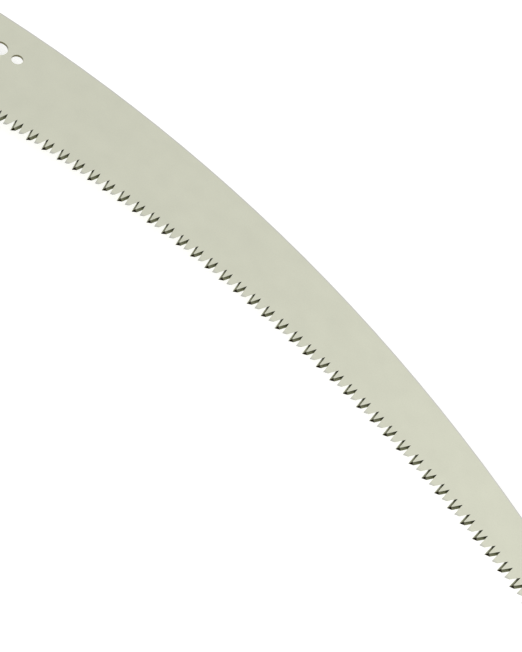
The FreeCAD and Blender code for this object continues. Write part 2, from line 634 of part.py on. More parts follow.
def build_lever(tube):
    """A cam with an arm that folds over the clamp, drawn from the middle of its pivot."""
    x = f"{TUBE_ENDS[tube]} + {EAR_MIDDLE}"
    body = new_body(f"clamp_lever_{tube}", x=x, y=pivot_y(tube), z=PIVOT_Z)
    cam = sketch_on(body, "YZ_Plane")
    add_circle(cam, "2 * sheet.cam_radius", "0", "-sheet.cam_offset")
    pad(body, cam, "sheet.lever_width", both_ways=True)
    under = f"({clamp_top(tube)} + sheet.lever_lift - {PIVOT_Z})"
    over = f"({under} + sheet.lever_thickness)"
    near = f"(-{pivot_y(tube)} - {clamp_side(tube)} - sheet.lever_lift)"
    far = f"({near} - sheet.lever_thickness)"
    drop = f"({over} - sheet.lever_wrap)"
    arm = sketch_on(body, "YZ_Plane")
    add_polygon(arm, [
        ("0", over),
        (f"{far} + sheet.lever_thickness", over),
        (far, f"{over} - sheet.lever_thickness"),
        (far, f"{drop} + sheet.lever_tab"),
        (f"{far} - sheet.lever_tab", drop),
        (f"{far} - sheet.lever_tab + sheet.lever_thickness", drop),
        (near, f"{drop} + sheet.lever_tab"),
        (near, f"{under} - sheet.cap_corner / 2"),
        (f"{near} + sheet.cap_corner / 2", under),
        ("-sheet.cam_radius", under),
        ("0", f"{under} - sheet.lever_thickness"),
    ])
    pad(body, arm, "sheet.lever_width", both_ways=True)
    pin = sketch_on(body, "YZ_Plane")
    add_circle(pin, "sheet.barrel + 2 * sheet.running_fit")
    pocket(body, pin, "sheet.lever_width + 2 * sheet.overcut", both_ways=True)
    slot = sketch_on(body, "XY_Plane")
    reach = "(sheet.cam_radius + sheet.lever_thickness)"
    add_box(slot, "-sheet.lever_slot / 2", "sheet.lever_slot / 2", f"-{reach}", f"{reach}")
    pocket(body, slot, f"4 * {reach}", both_ways=True)
    return body


def build_clamps():
    parts = []
    for tube in (1, 2):
        parts += [build_collar(tube), build_liner(tube), build_collar_screws(tube), build_draw_bolt(tube),
                  build_cam_barrel(tube), build_cam_washer(tube), build_lever(tube)]
    return parts


# Saw head.  Stations count from its rear face.

def head_bolt_stations():
    return ["sheet.head_bolt_edge", "sheet.socket_depth - sheet.head_bolt_edge"]


def build_saw_head():
    width, height, _ = TUBES[3]
    body = new_body("saw_head", x=HEAD_START)
    socket = sketch_on(body, "YZ_Plane")
    add_oval(socket, f"{width} + 2 * sheet.socket_wall", f"{height} + 2 * sheet.socket_wall")
    pad(body, socket, SEAT)
    round_edges(body, at_front, "sheet.head_edge")
    tongue = sketch_on(body, "XY_Plane", TONGUE_BOTTOM)
    nose = f"{FRONT_BOLT} + sheet.tongue_nose - sheet.tongue_width / 2"
    half = "sheet.tongue_width / 2"
    add_box(tongue, "sheet.socket_depth", nose, f"-{half}", half)
    pad(body, tongue, "sheet.tongue_thickness")
    gusset = sketch_on(body, "XZ_Plane")
    gusset_end = f"{SEAT} + sheet.gusset_run"
    add_polygon(gusset, [("sheet.socket_depth", TONGUE_MIDDLE),
                         ("sheet.socket_depth", "-sheet.gusset_drop"), (SEAT, "-sheet.gusset_drop"),
                         (gusset_end, TONGUE_BOTTOM), (gusset_end, TONGUE_MIDDLE)])
    pad(body, gusset, "sheet.gusset_width", both_ways=True)
    round_nose = sketch_on(body, "XY_Plane", TONGUE_BOTTOM)
    add_circle(round_nose, "sheet.tongue_width", nose)
    pad(body, round_nose, "sheet.tongue_thickness")
    bore = sketch_on(body, "YZ_Plane")
    add_oval(bore, width, height)
    pocket(body, bore, "sheet.socket_depth")
    cross = "sheet.head_bolt + 2 * sheet.bolt_clearance"
    for station in head_bolt_stations():
        hole = sketch_on(body, "XY_Plane")
        add_circle(hole, cross, station)
        pocket(body, hole, "2 * sheet.tube_1_height", both_ways=True)
    for station in (REAR_BOLT, FRONT_BOLT):
        hole = sketch_on(body, "XY_Plane", TONGUE_BOTTOM)
        add_circle(hole, "sheet.blade_bolt + 2 * sheet.bolt_clearance", station)
        pocket(body, hole, "sheet.tongue_thickness")
        neck = sketch_on(body, "XY_Plane", TONGUE_BOTTOM)
        half_neck = "(sheet.blade_bolt / 2 + sheet.bolt_clearance)"
        add_box(neck, f"{station} - {half_neck}", f"{station} + {half_neck}", f"-{half_neck}", half_neck)
        pocket(body, neck, "sheet.neck_depth + sheet.bolt_clearance")
    return body


def build_head_bolts():
    """Button head bolts from above and their nuts below."""
    _, height, _ = TUBES[3]
    flat = f"({height} / 2 + sheet.socket_wall)"
    bolts, nuts = [], []
    for index, offset in enumerate(head_bolt_stations(), start=1):
        station = f"{HEAD_START} + {offset}"
        tail = f"({flat} + sheet.head_nut_height + sheet.head_bolt_end)"
        shank = cylinder(f"head_shank_{index}", "sheet.head_bolt", f"{tail} + {flat}",
                         station, "0", f"-{tail}")
        head = cylinder(f"head_button_{index}", "sheet.head_bolt_head", "sheet.head_bolt_rise",
                        station, "0", flat)
        key = prism(f"head_key_{index}", "sheet.head_bolt_key", "sheet.head_bolt_rise",
                    station, "0", f"{flat} + sheet.head_bolt_rise / 2")
        bolts.append(cut(f"head_bolt_{index}", fuse(f"head_solid_{index}", shank, head), key))
        nut = prism(f"head_hexagon_{index}", "sheet.head_nut", "sheet.head_nut_height",
                    station, "0", f"-{flat} - sheet.head_nut_height")
        thread = cylinder(f"head_thread_{index}", "sheet.head_bolt", "3 * sheet.head_nut_height",
                          station, "0", f"-{flat} - 2 * sheet.head_nut_height")
        nuts.append(cut(f"head_nut_{index}", nut, thread))
    return [group("head_bolts", *bolts), group("head_nuts", *nuts)]


def build_clamp_plate():
    body = new_body("clamp_plate", x=f"{HEAD_START} + {REAR_BOLT}", z="sheet.blade_thickness / 2")
    plate = sketch_on(body, "XY_Plane", shift_x="sheet.bolt_spacing / 2")
    add_oval(plate, "sheet.bolt_spacing + sheet.plate_width", "sheet.plate_width")
    pad(body, plate, "sheet.plate_thickness")
    for station in ("0", "sheet.bolt_spacing"):
        hole = sketch_on(body, "XY_Plane")
        add_circle(hole, "sheet.blade_bolt + 2 * sheet.bolt_clearance", station)
        pocket(body, hole, "sheet.plate_thickness")
    return body


def build_blade_bolts():
    """Carriage bolts from below, each with a square neck in the tongue, and their washers."""
    bolts, washers = [], []
    for name, offset in (("rear", REAR_BOLT), ("front", FRONT_BOLT)):
        station = f"{HEAD_START} + {offset}"
        shank = cylinder(f"blade_shank_{name}", "sheet.blade_bolt", f"sheet.bolt_tail - {TONGUE_BOTTOM}",
                         station, "0", TONGUE_BOTTOM)
        neck = box(f"blade_neck_{name}", "sheet.blade_bolt", "sheet.blade_bolt", "sheet.neck_depth",
                   station, "0", TONGUE_BOTTOM)
        rim = cylinder(f"blade_rim_{name}", "sheet.blade_bolt_head", "sheet.blade_bolt_dome",
                       station, "0", f"{TONGUE_BOTTOM} - sheet.blade_bolt_dome")
        ball = doc.addObject("Part::Sphere", f"blade_ball_{name}")
        rise = "sheet.blade_bolt_dome"
        radius = f"((sheet.blade_bolt_head / 2) ^ 2 + {rise} ^ 2) / (2 * {rise})"
        ball.setExpression("Radius", radius)
        place(ball, station, "0", f"{TONGUE_BOTTOM} - {rise} + {radius}")
        head = doc.addObject("Part::Common", f"blade_head_{name}")
        head.Base = rim
        head.Tool = ball
        bolts.append(fuse(f"blade_bolt_{name}", shank, neck, head))
        ring = cylinder(f"washer_disc_{name}", "sheet.washer", "sheet.washer_thickness",
                        station, "0", PLATE_TOP)
        hole = cylinder(f"washer_bore_{name}", "sheet.blade_bolt + 2 * sheet.bolt_clearance",
                        "3 * sheet.washer_thickness", station, "0", f"{PLATE_TOP} - sheet.washer_thickness")
        washers.append(cut(f"blade_washer_{name}", ring, hole))
    return [group("blade_bolts", *bolts), group("blade_washers", *washers)]


def build_wing_nut(name, offset):
    """A round hub with two thumb wings, free to turn on its bolt."""
    station = f"{HEAD_START} + {offset}"
    base = f"({PLATE_TOP} + sheet.washer_thickness + sheet.nut_gap)"
    hub = cylinder(f"hub_{name}", "2 * sheet.hub_radius", "sheet.hub_height", station, "0", base)
    pieces = [hub]
    for direction in (1, -1):
        wing = cylinder(f"wing_{name}_{'left' if direction > 0 else 'right'}", "2 * sheet.wing_radius",
                        "sheet.wing_thickness", f"{station} - sheet.wing_thickness / 2",
                        f"{direction} * sheet.wing_reach", f"{base} + sheet.wing_rise", along="X")
        pieces.append(wing)
    bridge = box(f"bridge_{name}", "sheet.wing_thickness", "2 * sheet.wing_reach", "sheet.hub_height",
                 station, "0", base)
    solid = fuse(f"wings_{name}", *pieces, bridge)
    bore = cylinder(f"thread_{name}", "sheet.blade_bolt + 2 * sheet.running_fit",
                    "4 * sheet.hub_height", station, "0", f"{base} - sheet.hub_height")
    nut = cut(f"wing_nut_{name}", solid, bore)
    nut.Label = f"wing_nut_{name}"
    return nut


# Blade.  It is drawn from the larger spare hole, with the hole line along X.

def oblique_prism(points, slant, height):
    """A prism on the middle plane's points whose sides lean by slant per unit of height."""
    down = Vector(-slant[0] * height / 2, -slant[1] * height / 2, -height / 2)
    corners = [Vector(x, y, 0) + down for x, y in points]
    face = Part.Face(Part.makePolygon(corners + corners[:1]))
    return face.extrude(down * -2)


def blank_reach():
    """How far the blank reaches beyond the tooth line, so that grinding forms every tip."""
    return size("tooth_rise") + size("tip_bevel")


def gullet_points():
    """The gullet ahead of a tooth, along and across the tooth line."""
    bottom, depth = size("gullet_bottom"), size("gullet_depth")
    below = -blank_reach() - size("overcut")
    points = [(bottom, depth)]
    for flank in (size("gullet_rear"), size("gullet_front")):
        slope = (bottom - flank) / depth
        points.append((flank + slope * below, below))
    return points


def tip_points():
    """What is ground off a tooth's tip, along and across the tooth line."""
    lead, slope, rise = size("tip_lead"), size("tip_slope"), size("tooth_rise")
    start, end = -0.5 * size("tooth_pitch"), 0.4 * size("tooth_pitch")
    below = -blank_reach() - 2 * size("overcut")
    return [(start, below), (end, below), (end, slope * (end + lead) - rise),
            (start, slope * (start + lead) - rise)]


def tooth_line():
    """Centre of the tooth line and the angle of its first tooth about that centre."""
    radius = size("tooth_radius")
    half_turn = (size("tooth_count") - 1) * size("tooth_pitch") / 2 / radius
    first = math.radians(size("droop_angle")) - half_turn
    heel = Vector(size("first_tooth_x"), -size("first_tooth_y"), 0)
    return heel - Vector(math.sin(first), math.cos(first), 0) * radius, first


def arc_middle(start, end, radius):
    """Middle of the shorter arc over the chord from start to end, on the chord's left."""
    chord = end - start
    rise = radius - math.sqrt(radius ** 2 - chord.Length ** 2 / 4)
    return (start + end) / 2 + Vector(-chord.y, chord.x, 0).normalize() * rise


def blade_outline():
    """The blade's face before its teeth are ground, and the corners to round."""
    centre, first = tooth_line()
    radius = size("tooth_radius") - blank_reach()

    def on_teeth(along):
        angle = first + along / size("tooth_radius")
        outward = Vector(math.sin(angle), math.cos(angle), 0)
        return centre + outward * radius, outward

    run = (size("tooth_count") - 1) * size("tooth_pitch")
    heel, _ = on_teeth(-size("heel_edge"))
    middle, _ = on_teeth(run / 2)
    toe, outward = on_teeth(run + size("toe_edge"))
    forward = Vector(outward.y, -outward.x, 0)
    toe_back = toe + outward * size("toe_width") - forward * size("toe_setback")
    shoulder = Vector(-size("back_shoulder"), size("back_height"), 0)
    half, rear = size("tang_width") / 2, -size("tang_length")
    tang = [Vector(-size("back_shoulder") - size("shoulder_run"), half, 0), Vector(rear, half, 0),
            Vector(rear, -half, 0), Vector(-size("heel_start"), -half, 0), heel]
    back = arc_middle(shoulder, toe_back, size("back_radius"))
    edges = [Part.Arc(heel, middle, toe).toShape(), Part.makeLine(toe, toe_back),
             Part.Arc(toe_back, back, shoulder).toShape(), Part.makeLine(shoulder, tang[0])]
    edges += [Part.makeLine(a, b) for a, b in zip(tang, tang[1:])]
    rounds = [(toe_back, size("toe_round")), (tang[0], size("heel_round")), (shoulder, size("heel_round")),
              (tang[1], size("tang_round")), (tang[2], size("tang_round")), (tang[3], size("heel_round"))]
    return Part.Face(Part.Wire(edges)), rounds


def build_blade():
    thickness = size("blade_thickness")
    face, rounds = blade_outline()
    face.translate(Vector(0, 0, -thickness / 2))
    plate = face.extrude(Vector(0, 0, thickness))
    for corner, radius in rounds:
        uprights = [edge for edge in plate.Edges
                    if all(math.hypot(v.X - corner.x, v.Y - corner.y) < 1e-4 for v in edge.Vertexes)]
        plate = plate.makeFillet(radius, uprights)
    height = thickness + size("overcut")
    gullet, tip = gullet_points(), tip_points()
    centre, first = tooth_line()
    radius = size("tooth_radius")
    cutters = []
    for index in range(int(size("tooth_count"))):
        side = 1 if index % 2 else -1
        turn = math.degrees(first + index * size("tooth_pitch") / radius)
        place_tooth = Placement(centre, Rotation(Vector(0, 0, 1), -turn))
        flank_slant = -side * size("flank_bevel") / thickness
        ground = [oblique_prism(gullet, (flank_slant, 0), height),
                  oblique_prism(tip, (0, side * size("tip_bevel") / thickness), height)]
        for cutter in ground:
            cutter.translate(Vector(0, radius, 0))
            cutter.Placement = place_tooth.multiply(cutter.Placement)
            cutters.append(cutter)
    plate = plate.cut(Part.makeCompound(cutters))
    holes = [(0.0, size("large_hole")), (size("spare_spacing"), size("small_hole"))]
    bolt_hole = size("blade_bolt") + 2 * size("bolt_clearance")
    holes += [(-size("front_bolt"), bolt_hole), (-size("front_bolt") - size("bolt_spacing"), bolt_hole)]
    for x, diameter in holes:
        plate = plate.cut(Part.makeCylinder(diameter / 2, height, Vector(x, 0, -height / 2)))
    blade = doc.addObject("Part::Feature", "saw_blade")
    blade.Label = "saw_blade"
    blade.Shape = max(plate.Solids, key=lambda solid: solid.Volume)
    place(blade, x=f"{HEAD_START} + {SPARE_HOLE}")
    return blade


def build_saw():
    parts = [build_end_cap(), *build_tubes(),
             build_grip("rear_grip", "sheet.rear_grip_start", "sheet.rear_grip_length"),
             build_grip("front_grip", "sheet.front_grip_start", "sheet.front_grip_length"),
             build_guide_bush(), build_end_plug(), *build_clamps(), build_saw_head(),
             *build_head_bolts(), build_clamp_plate(), *build_blade_bolts(),
             build_wing_nut("rear", REAR_BOLT), build_wing_nut("front", FRONT_BOLT), build_blade()]
    doc.recompute()
    return parts


def check(parts):
    """Stop if any object failed or any sub-part has no valid shape."""
    failed = [item.Name for item in doc.Objects if {"Invalid", "Error"} & set(item.State)]
    if failed:
        raise RuntimeError(f"failed objects: {failed}")
    for part in parts:
        if part.Shape.isNull() or not part.Shape.isValid():
            raise RuntimeError(f"{part.Label} has no valid shape")


def write(parts):
    os.makedirs("parts", exist_ok=True)
    for part in parts:
        part.Shape.exportStep(os.path.join("parts", f"{part.Label}.step"))
        bounds = part.Shape.BoundBox
        print(f"{part.Label:18s} solids {len(part.Shape.Solids)}  volume {part.Shape.Volume:10.1f}  "
              f"x {bounds.XMin:8.2f} {bounds.XMax:8.2f}  y {bounds.YMin:7.2f} {bounds.YMax:7.2f}  "
              f"z {bounds.ZMin:7.2f} {bounds.ZMax:7.2f}")


saw_parts = build_saw()
check(saw_parts)
write(saw_parts)
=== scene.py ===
"""Telescoping pole saw: finishes, moulded and cast pieces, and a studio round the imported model."""

import json
import math

import bmesh
import bpy
from bpy.props import FloatProperty, FloatVectorProperty, PointerProperty
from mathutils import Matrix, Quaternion, Vector


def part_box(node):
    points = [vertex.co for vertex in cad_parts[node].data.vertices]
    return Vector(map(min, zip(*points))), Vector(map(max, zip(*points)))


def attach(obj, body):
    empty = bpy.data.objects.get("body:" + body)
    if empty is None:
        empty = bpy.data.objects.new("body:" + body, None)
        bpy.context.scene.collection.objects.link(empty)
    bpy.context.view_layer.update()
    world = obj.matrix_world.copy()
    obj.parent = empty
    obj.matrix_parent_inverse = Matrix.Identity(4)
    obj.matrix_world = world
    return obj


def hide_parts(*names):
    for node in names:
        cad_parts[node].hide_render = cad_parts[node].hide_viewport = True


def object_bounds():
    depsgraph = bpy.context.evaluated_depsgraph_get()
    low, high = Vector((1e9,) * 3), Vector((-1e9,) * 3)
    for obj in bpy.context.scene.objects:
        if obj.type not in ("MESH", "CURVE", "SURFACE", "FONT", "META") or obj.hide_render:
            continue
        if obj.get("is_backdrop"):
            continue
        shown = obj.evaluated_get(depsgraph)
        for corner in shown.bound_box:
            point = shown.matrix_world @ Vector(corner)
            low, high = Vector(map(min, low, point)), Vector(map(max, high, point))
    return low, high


bl_info = {
    "name": "Telescoping pole saw",
    "version": (1, 0, 0),
    "blender": (4, 5, 0),
    "location": "View3D > Sidebar > Pole saw",
    "description": "Dresses the pole saw's frame with its real finishes and sets a studio round it",
    "category": "Object",
}

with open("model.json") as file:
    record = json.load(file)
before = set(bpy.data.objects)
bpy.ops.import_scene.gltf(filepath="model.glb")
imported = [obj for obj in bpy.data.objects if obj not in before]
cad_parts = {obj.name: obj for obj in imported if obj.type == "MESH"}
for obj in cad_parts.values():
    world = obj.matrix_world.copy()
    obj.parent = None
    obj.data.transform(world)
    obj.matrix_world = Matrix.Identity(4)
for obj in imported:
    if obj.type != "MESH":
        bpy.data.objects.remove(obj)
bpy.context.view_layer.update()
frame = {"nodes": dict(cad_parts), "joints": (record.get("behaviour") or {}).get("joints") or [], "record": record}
MM = 0.001
AROUND = 2 * math.pi
SLOT_OF = {item["node"]: item["material_slot"] for item in frame["record"]["subparts"]}
BODY_OF = {node: body for body, nodes in frame["record"]["behaviour"]["bodies"].items()
           for node in nodes}


def linear(code):
    """Linear RGBA of an sRGB hex colour."""
    channels = [int(code[i:i + 2], 16) / 255 for i in (1, 3, 5)]
    return (*(c / 12.92 if c <= 0.04045 else ((c + 0.055) / 1.055) ** 2.4 for c in channels), 1.0)


def mount_point(name):
    """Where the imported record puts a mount."""
    mount = next(item for item in frame["record"]["mounts"] if item["name"] == name)
    return Vector(mount["pos_m"])


def full_travel(name):
    """How far a sliding joint goes out."""
    joint = next(item for item in frame["joints"] if item["name"] == name)
    return joint["range_m"][1]


# Settings.

def colour(name, description, code):
    return FloatVectorProperty(name=name, description=description, default=linear(code),
                               subtype="COLOR", size=4, min=0.0, max=1.0)


def length(name, description, millimetres):
    return FloatProperty(name=name, description=description, default=millimetres * MM,
                         min=0.0, unit="LENGTH", precision=5)


class PoleSawBlade(bpy.types.PropertyGroup):
    plate: colour("Plate", "Satin plating on the blade's two faces", "#CBCCBB")
    edge: colour("Cut edges", "Back edge, tang edge and the walls of the gullets", "#A3A18B")
    # Painted shade: the walls of the spare holes are coloured dark.
    hole_shade: colour("Punched holes", "Walls of the spare holes, browned where the punch tore",
                    "#77745A")
    hardened: colour("Tooth faces", "Plating dulled by the hardening of the teeth", "#B7B7B1")
    # Painted dark reflection: the flanks, gullets and tips are ground steel coloured darker, standing in for dark
    # surroundings that they reflect.
    flank_reflection: colour("Tooth flanks", "Ground flanks of the teeth", "#9C9E86")
    gullet_reflection: colour("Gullets", "Ground flanks by the gullets, browned by the wheel", "#393A20")
    tip: colour("Tooth tips", "Ground and hardened tips of the teeth", "#1C170A")
    # Painted shade: a greyer band on the faces along the back edge, standing in for a small chamfer's shade.
    back_edge_shade: colour("Blunted edge", "Plating rubbed grey along the back edge", "#C3C2BE")
    back_edge_shade_width: length("Blunted width", "Width of that rubbed band", 0.9)
    holes_reach: length("Holes' reach", "Both spare holes lie this near the larger one's centre",
                        16.0)
    line_ahead: length("Tooth line ahead", "Tooth line's centre, ahead of the larger spare hole",
                       48.05)
    line_beside: length("Tooth line beside", "Tooth line's centre, on the toothed side of the hole",
                        789.4)
    line_radius: length("Tooth line radius", "Radius of the line through the middle of the teeth",
                        751.8)
    back_behind: length("Back edge behind", "Back edge's centre, behind the larger spare hole",
                        24.8)
    back_beside: length("Back edge beside", "Back edge's centre, on the toothed side of the hole",
                        783.6)
    back_radius: length("Back edge radius", "Radius of the back edge", 804.4)
    grain: length("Grain", "Size of the satin grain on the faces", 0.7)


class PoleSawPole(bpy.types.PropertyGroup):
    tube: colour("Tubes", "Clear anodising on the aluminium tubes", "#C3C6C9")
    stop: colour("Stop band", "Band that shows when a section is fully out", "#B3241C")
    stop_width: length("Stop band width", "Width of the band along the tube", 8.0)
    stop_lead: length("Stop band lead", "Bare tube from clamp to band with the section fully out",
                      5.0)
    draw_line: length("Draw lines", "Spacing of the fine lines along a drawn tube", 0.8)
    sleeve: colour("Sleeves", "Acetal liners, bush and plug", "#DEDDD2")
    rubber: colour("Rubber", "Grips and butt cap", "#2A2A2B")
    rib_pitch: length("Rib pitch", "Distance from one grip rib to the next", 9.0)
    rib_width: length("Rib width", "Width of a grip rib", 5.0)
    rib_height: length("Rib height", "Height of a grip rib", 1.1)


class PoleSawClamps(bpy.types.PropertyGroup):
    body: colour("Clamp bodies", "Glass-filled nylon of the clamp bodies", "#28292B")
    lever: colour("Levers", "Nylon of the clamp levers", "#D9531E")
    rounding: length("Rounding", "Mould radius on the outer edges", 0.8)
    tab: length("Finger tab", "Reach of a lever's finger tab beyond its turned-down end", 5.0)


class PoleSawHead(bpy.types.PropertyGroup):
    casting: colour("Casting", "Shot-blasted aluminium of the saw head", "#A6A8A9")
    edge_wear_and_shade: colour("Rubbed edges", "Aluminium rubbed bright on the head's edges", "#D2D4D5")
    zinc: colour("Fasteners", "Zinc plating on bolts, nuts, washers and plates", "#C2C3BE")
    passivation: colour("Passivation", "Yellow tinge in the zinc's passivation", "#BDB48F")
    voxel: length("Casting detail", "Finest detail kept on the cast and forged pieces", 0.7)
    bolt: length("Blade bolt", "Diameter of the blade bolts", 6.0)
    bolt_head: length("Blade bolt head", "Diameter of a blade bolt's dome", 14.0)
    thread_pitch: length("Thread pitch", "Pitch of the blade bolts' thread", 1.0)
    tongue: length("Tongue", "Thickness of the head's tongue under the blade", 8.0)


class PoleSawStage(bpy.types.PropertyGroup):
    azimuth: FloatProperty(name="Azimuth", description="Camera's bearing round the saw",
                           unit="ROTATION", default=math.radians(8.28))
    elevation: FloatProperty(name="Elevation", description="Camera's height above the horizon",
                             unit="ROTATION", default=math.radians(54.12))
    roll: FloatProperty(name="Roll", description="Camera's turn about its own axis",
                        unit="ROTATION", default=math.radians(25.7))
    distance: length("Distance", "Camera to the point it looks at", 849.8)
    ahead: length("Aim ahead", "Point looked at, ahead of the larger spare hole", 196.6)
    beside: length("Aim beside", "Point looked at, on the toothed side of the hole line", 60.4)
    lens: FloatProperty(name="Lens", description="Focal length for a 36 mm sensor", default=95.47,
                        unit="CAMERA")
    floor: colour("Floor", "Studio floor", "#E8E8E8")
    floor_size: length("Floor size", "Length of the floor's sides", 12000.0)
    glow: FloatProperty(name="Floor glow", description="Light that the floor adds for the camera",
                        default=0.50)
    ambient: FloatProperty(name="Ambient", description="Light from all round", default=0.62)


SETTINGS = {"blade": PoleSawBlade, "pole": PoleSawPole, "clamps": PoleSawClamps,
            "head": PoleSawHead, "stage": PoleSawStage}


def settings(group):
    return getattr(bpy.context.scene, f"pole_saw_{group}")


# Materials.

def per_metre(millimetres):
    """Texture scale that repeats a pattern at a real spacing."""
    return 1.0 / (millimetres * MM)


def new_material(name):
    material = bpy.data.materials.new(name)
    material.use_nodes = True
    material.node_tree.nodes.clear()
    return material, material.node_tree


def add_node(tree, kind, sockets=None, **options):
    """Add a node, set its options, and give each named socket a value or a link."""
    node = tree.nodes.new(kind)
    node.location = (220 * len(tree.nodes), 0)
    for name, value in options.items():
        setattr(node, name, value)
    for key, value in (sockets or {}).items():
        if isinstance(value, bpy.types.NodeSocket):
            tree.links.new(value, node.inputs[key])
        else:
            node.inputs[key].default_value = value
    return node


def satin_plated_spring_steel():
    """Rolled spring steel, plated and tumbled satin, its teeth ground and hardened afterwards.

    The plating gives a soft greenish grey with no clear reflections.  The ground flanks are bare
    steel with a painted dark reflection, darkest by their gullets and almost black at the tips.
    """
    look = settings("blade")
    material, tree = new_material("satin_plated_spring_steel")
    place = add_node(tree, "ShaderNodeTexCoord").outputs["Object"]
    level = add_node(tree, "ShaderNodeSeparateXYZ", {"Vector": place}).outputs["Z"]
    normal = add_node(tree, "ShaderNodeNewGeometry").outputs["True Normal"]
    upward = add_node(tree, "ShaderNodeSeparateXYZ", {"Vector": normal}).outputs["Z"]
    facing = add_node(tree, "ShaderNodeMath", {0: upward}, operation="ABSOLUTE").outputs[0]
    hole = mount_point("spare_hole_large")
    line_centre = (hole.x + look.line_ahead, hole.y - look.line_beside, 0.0)
    back_centre = (hole.x - look.back_behind, hole.y - look.back_beside, 0.0)
    from_line, from_back, from_hole = (
        add_node(tree, "ShaderNodeVectorMath", {0: place, 1: centre},
                 operation="DISTANCE").outputs["Value"]
        for centre in (line_centre, back_centre, hole))
    # Mask for the painted shade on the walls of the spare holes.
    hole_shade = add_node(tree, "ShaderNodeMath", {0: from_hole, 1: look.holes_reach},
                       operation="LESS_THAN").outputs[0]
    # Painted shade in a narrow band on the faces along the back edge.
    edge_wear_and_shade = add_node(tree, "ShaderNodeMapRange", {
        "Value": from_back, "From Min": look.back_radius - look.back_edge_shade_width,
        "From Max": look.back_radius - look.back_edge_shade_width / 3}).outputs["Result"]
    # Factors that rise from one distance to another, in millimetres outward of the tooth line.
    rising = {}
    for name, start, end in (("past_gullet", -4.2, -2.2), ("hardened", 0.2, 2.0),
                             ("tip", 0.2, 1.2)):
        rising[name] = add_node(tree, "ShaderNodeMapRange", {
            "Value": from_line, "From Min": look.line_radius - start * MM,
            "From Max": look.line_radius - end * MM}).outputs["Result"]
    # Painted dark reflection on the flanks, darkest at the upper face and fading to just below the plate's middle.
    lower = add_node(tree, "ShaderNodeMapRange", {
        "Value": level, "From Min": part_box("saw_blade")[1].z, "From Max": -0.1 * MM,
        "To Min": 0.3}).outputs["Result"]
    flank_reflection_fade = add_node(tree, "ShaderNodeMath", {0: lower, 1: rising["past_gullet"]},
                    operation="MULTIPLY").outputs[0]
    # The flank, gullet and tip colours below carry a painted dark reflection.
    flank_reflection, tip, plate, tone = (
        add_node(tree, "ShaderNodeMix", {0: share, 6: start, 7: end}, data_type="RGBA").outputs[2]
        for share, start, end in ((flank_reflection_fade, look.gullet_reflection, look.flank_reflection),
                                  (rising["tip"], look.flank_reflection, look.tip),
                                  (rising["hardened"], look.plate, look.hardened),
                                  (hole_shade, look.edge, look.hole_shade)))
    plate = add_node(tree, "ShaderNodeMix", {0: edge_wear_and_shade, 6: plate, 7: look.back_edge_shade},
                     data_type="RGBA").outputs[2]
    # Cut walls stand upright, tips look about half up, flanks a little more, and faces fully.
    for flatness, layer in ((0.12, tip), (0.575, flank_reflection), (0.80, plate)):
        chosen = add_node(tree, "ShaderNodeMath", {0: facing, 1: flatness},
                          operation="GREATER_THAN").outputs[0]
        tone = add_node(tree, "ShaderNodeMix", {0: chosen, 6: tone, 7: layer},
                        data_type="RGBA").outputs[2]
    gloss = add_node(tree, "ShaderNodeMapRange", {"Value": chosen, "To Min": 0.36,
                                                  "To Max": 0.42}).outputs["Result"]
    # Tumbling marks are finer than they can show, so the grain is drawn coarser.
    grain = add_node(tree, "ShaderNodeTexNoise", {
        "Vector": place, "Scale": per_metre(look.grain / MM), "Detail": 2.0}).outputs["Fac"]
    clouds = add_node(tree, "ShaderNodeTexNoise", {"Vector": place, "Scale": per_metre(14.0),
                                                   "Detail": 3.0}).outputs["Fac"]
    mottle = add_node(tree, "ShaderNodeMath", {0: grain, 1: clouds}, operation="ADD").outputs[0]
    shade = add_node(tree, "ShaderNodeMapRange", {"Value": mottle, "From Min": 0.7, "From Max": 1.3,
                                                  "To Min": 0.94, "To Max": 1.0}).outputs["Result"]
    tone = add_node(tree, "ShaderNodeMix", {0: 1.0, 6: tone, 7: shade}, data_type="RGBA",
                    blend_type="MULTIPLY").outputs[2]
    relief = add_node(tree, "ShaderNodeBump", {"Height": grain,
                                               "Distance": 0.004 * MM}).outputs["Normal"]
    shader = add_node(tree, "ShaderNodeBsdfPrincipled", {"Base Color": tone, "Metallic": 1.0,
                                                         "Roughness": gloss, "Normal": relief})
    add_node(tree, "ShaderNodeOutputMaterial", {"Surface": shader.outputs["BSDF"]})
    return material


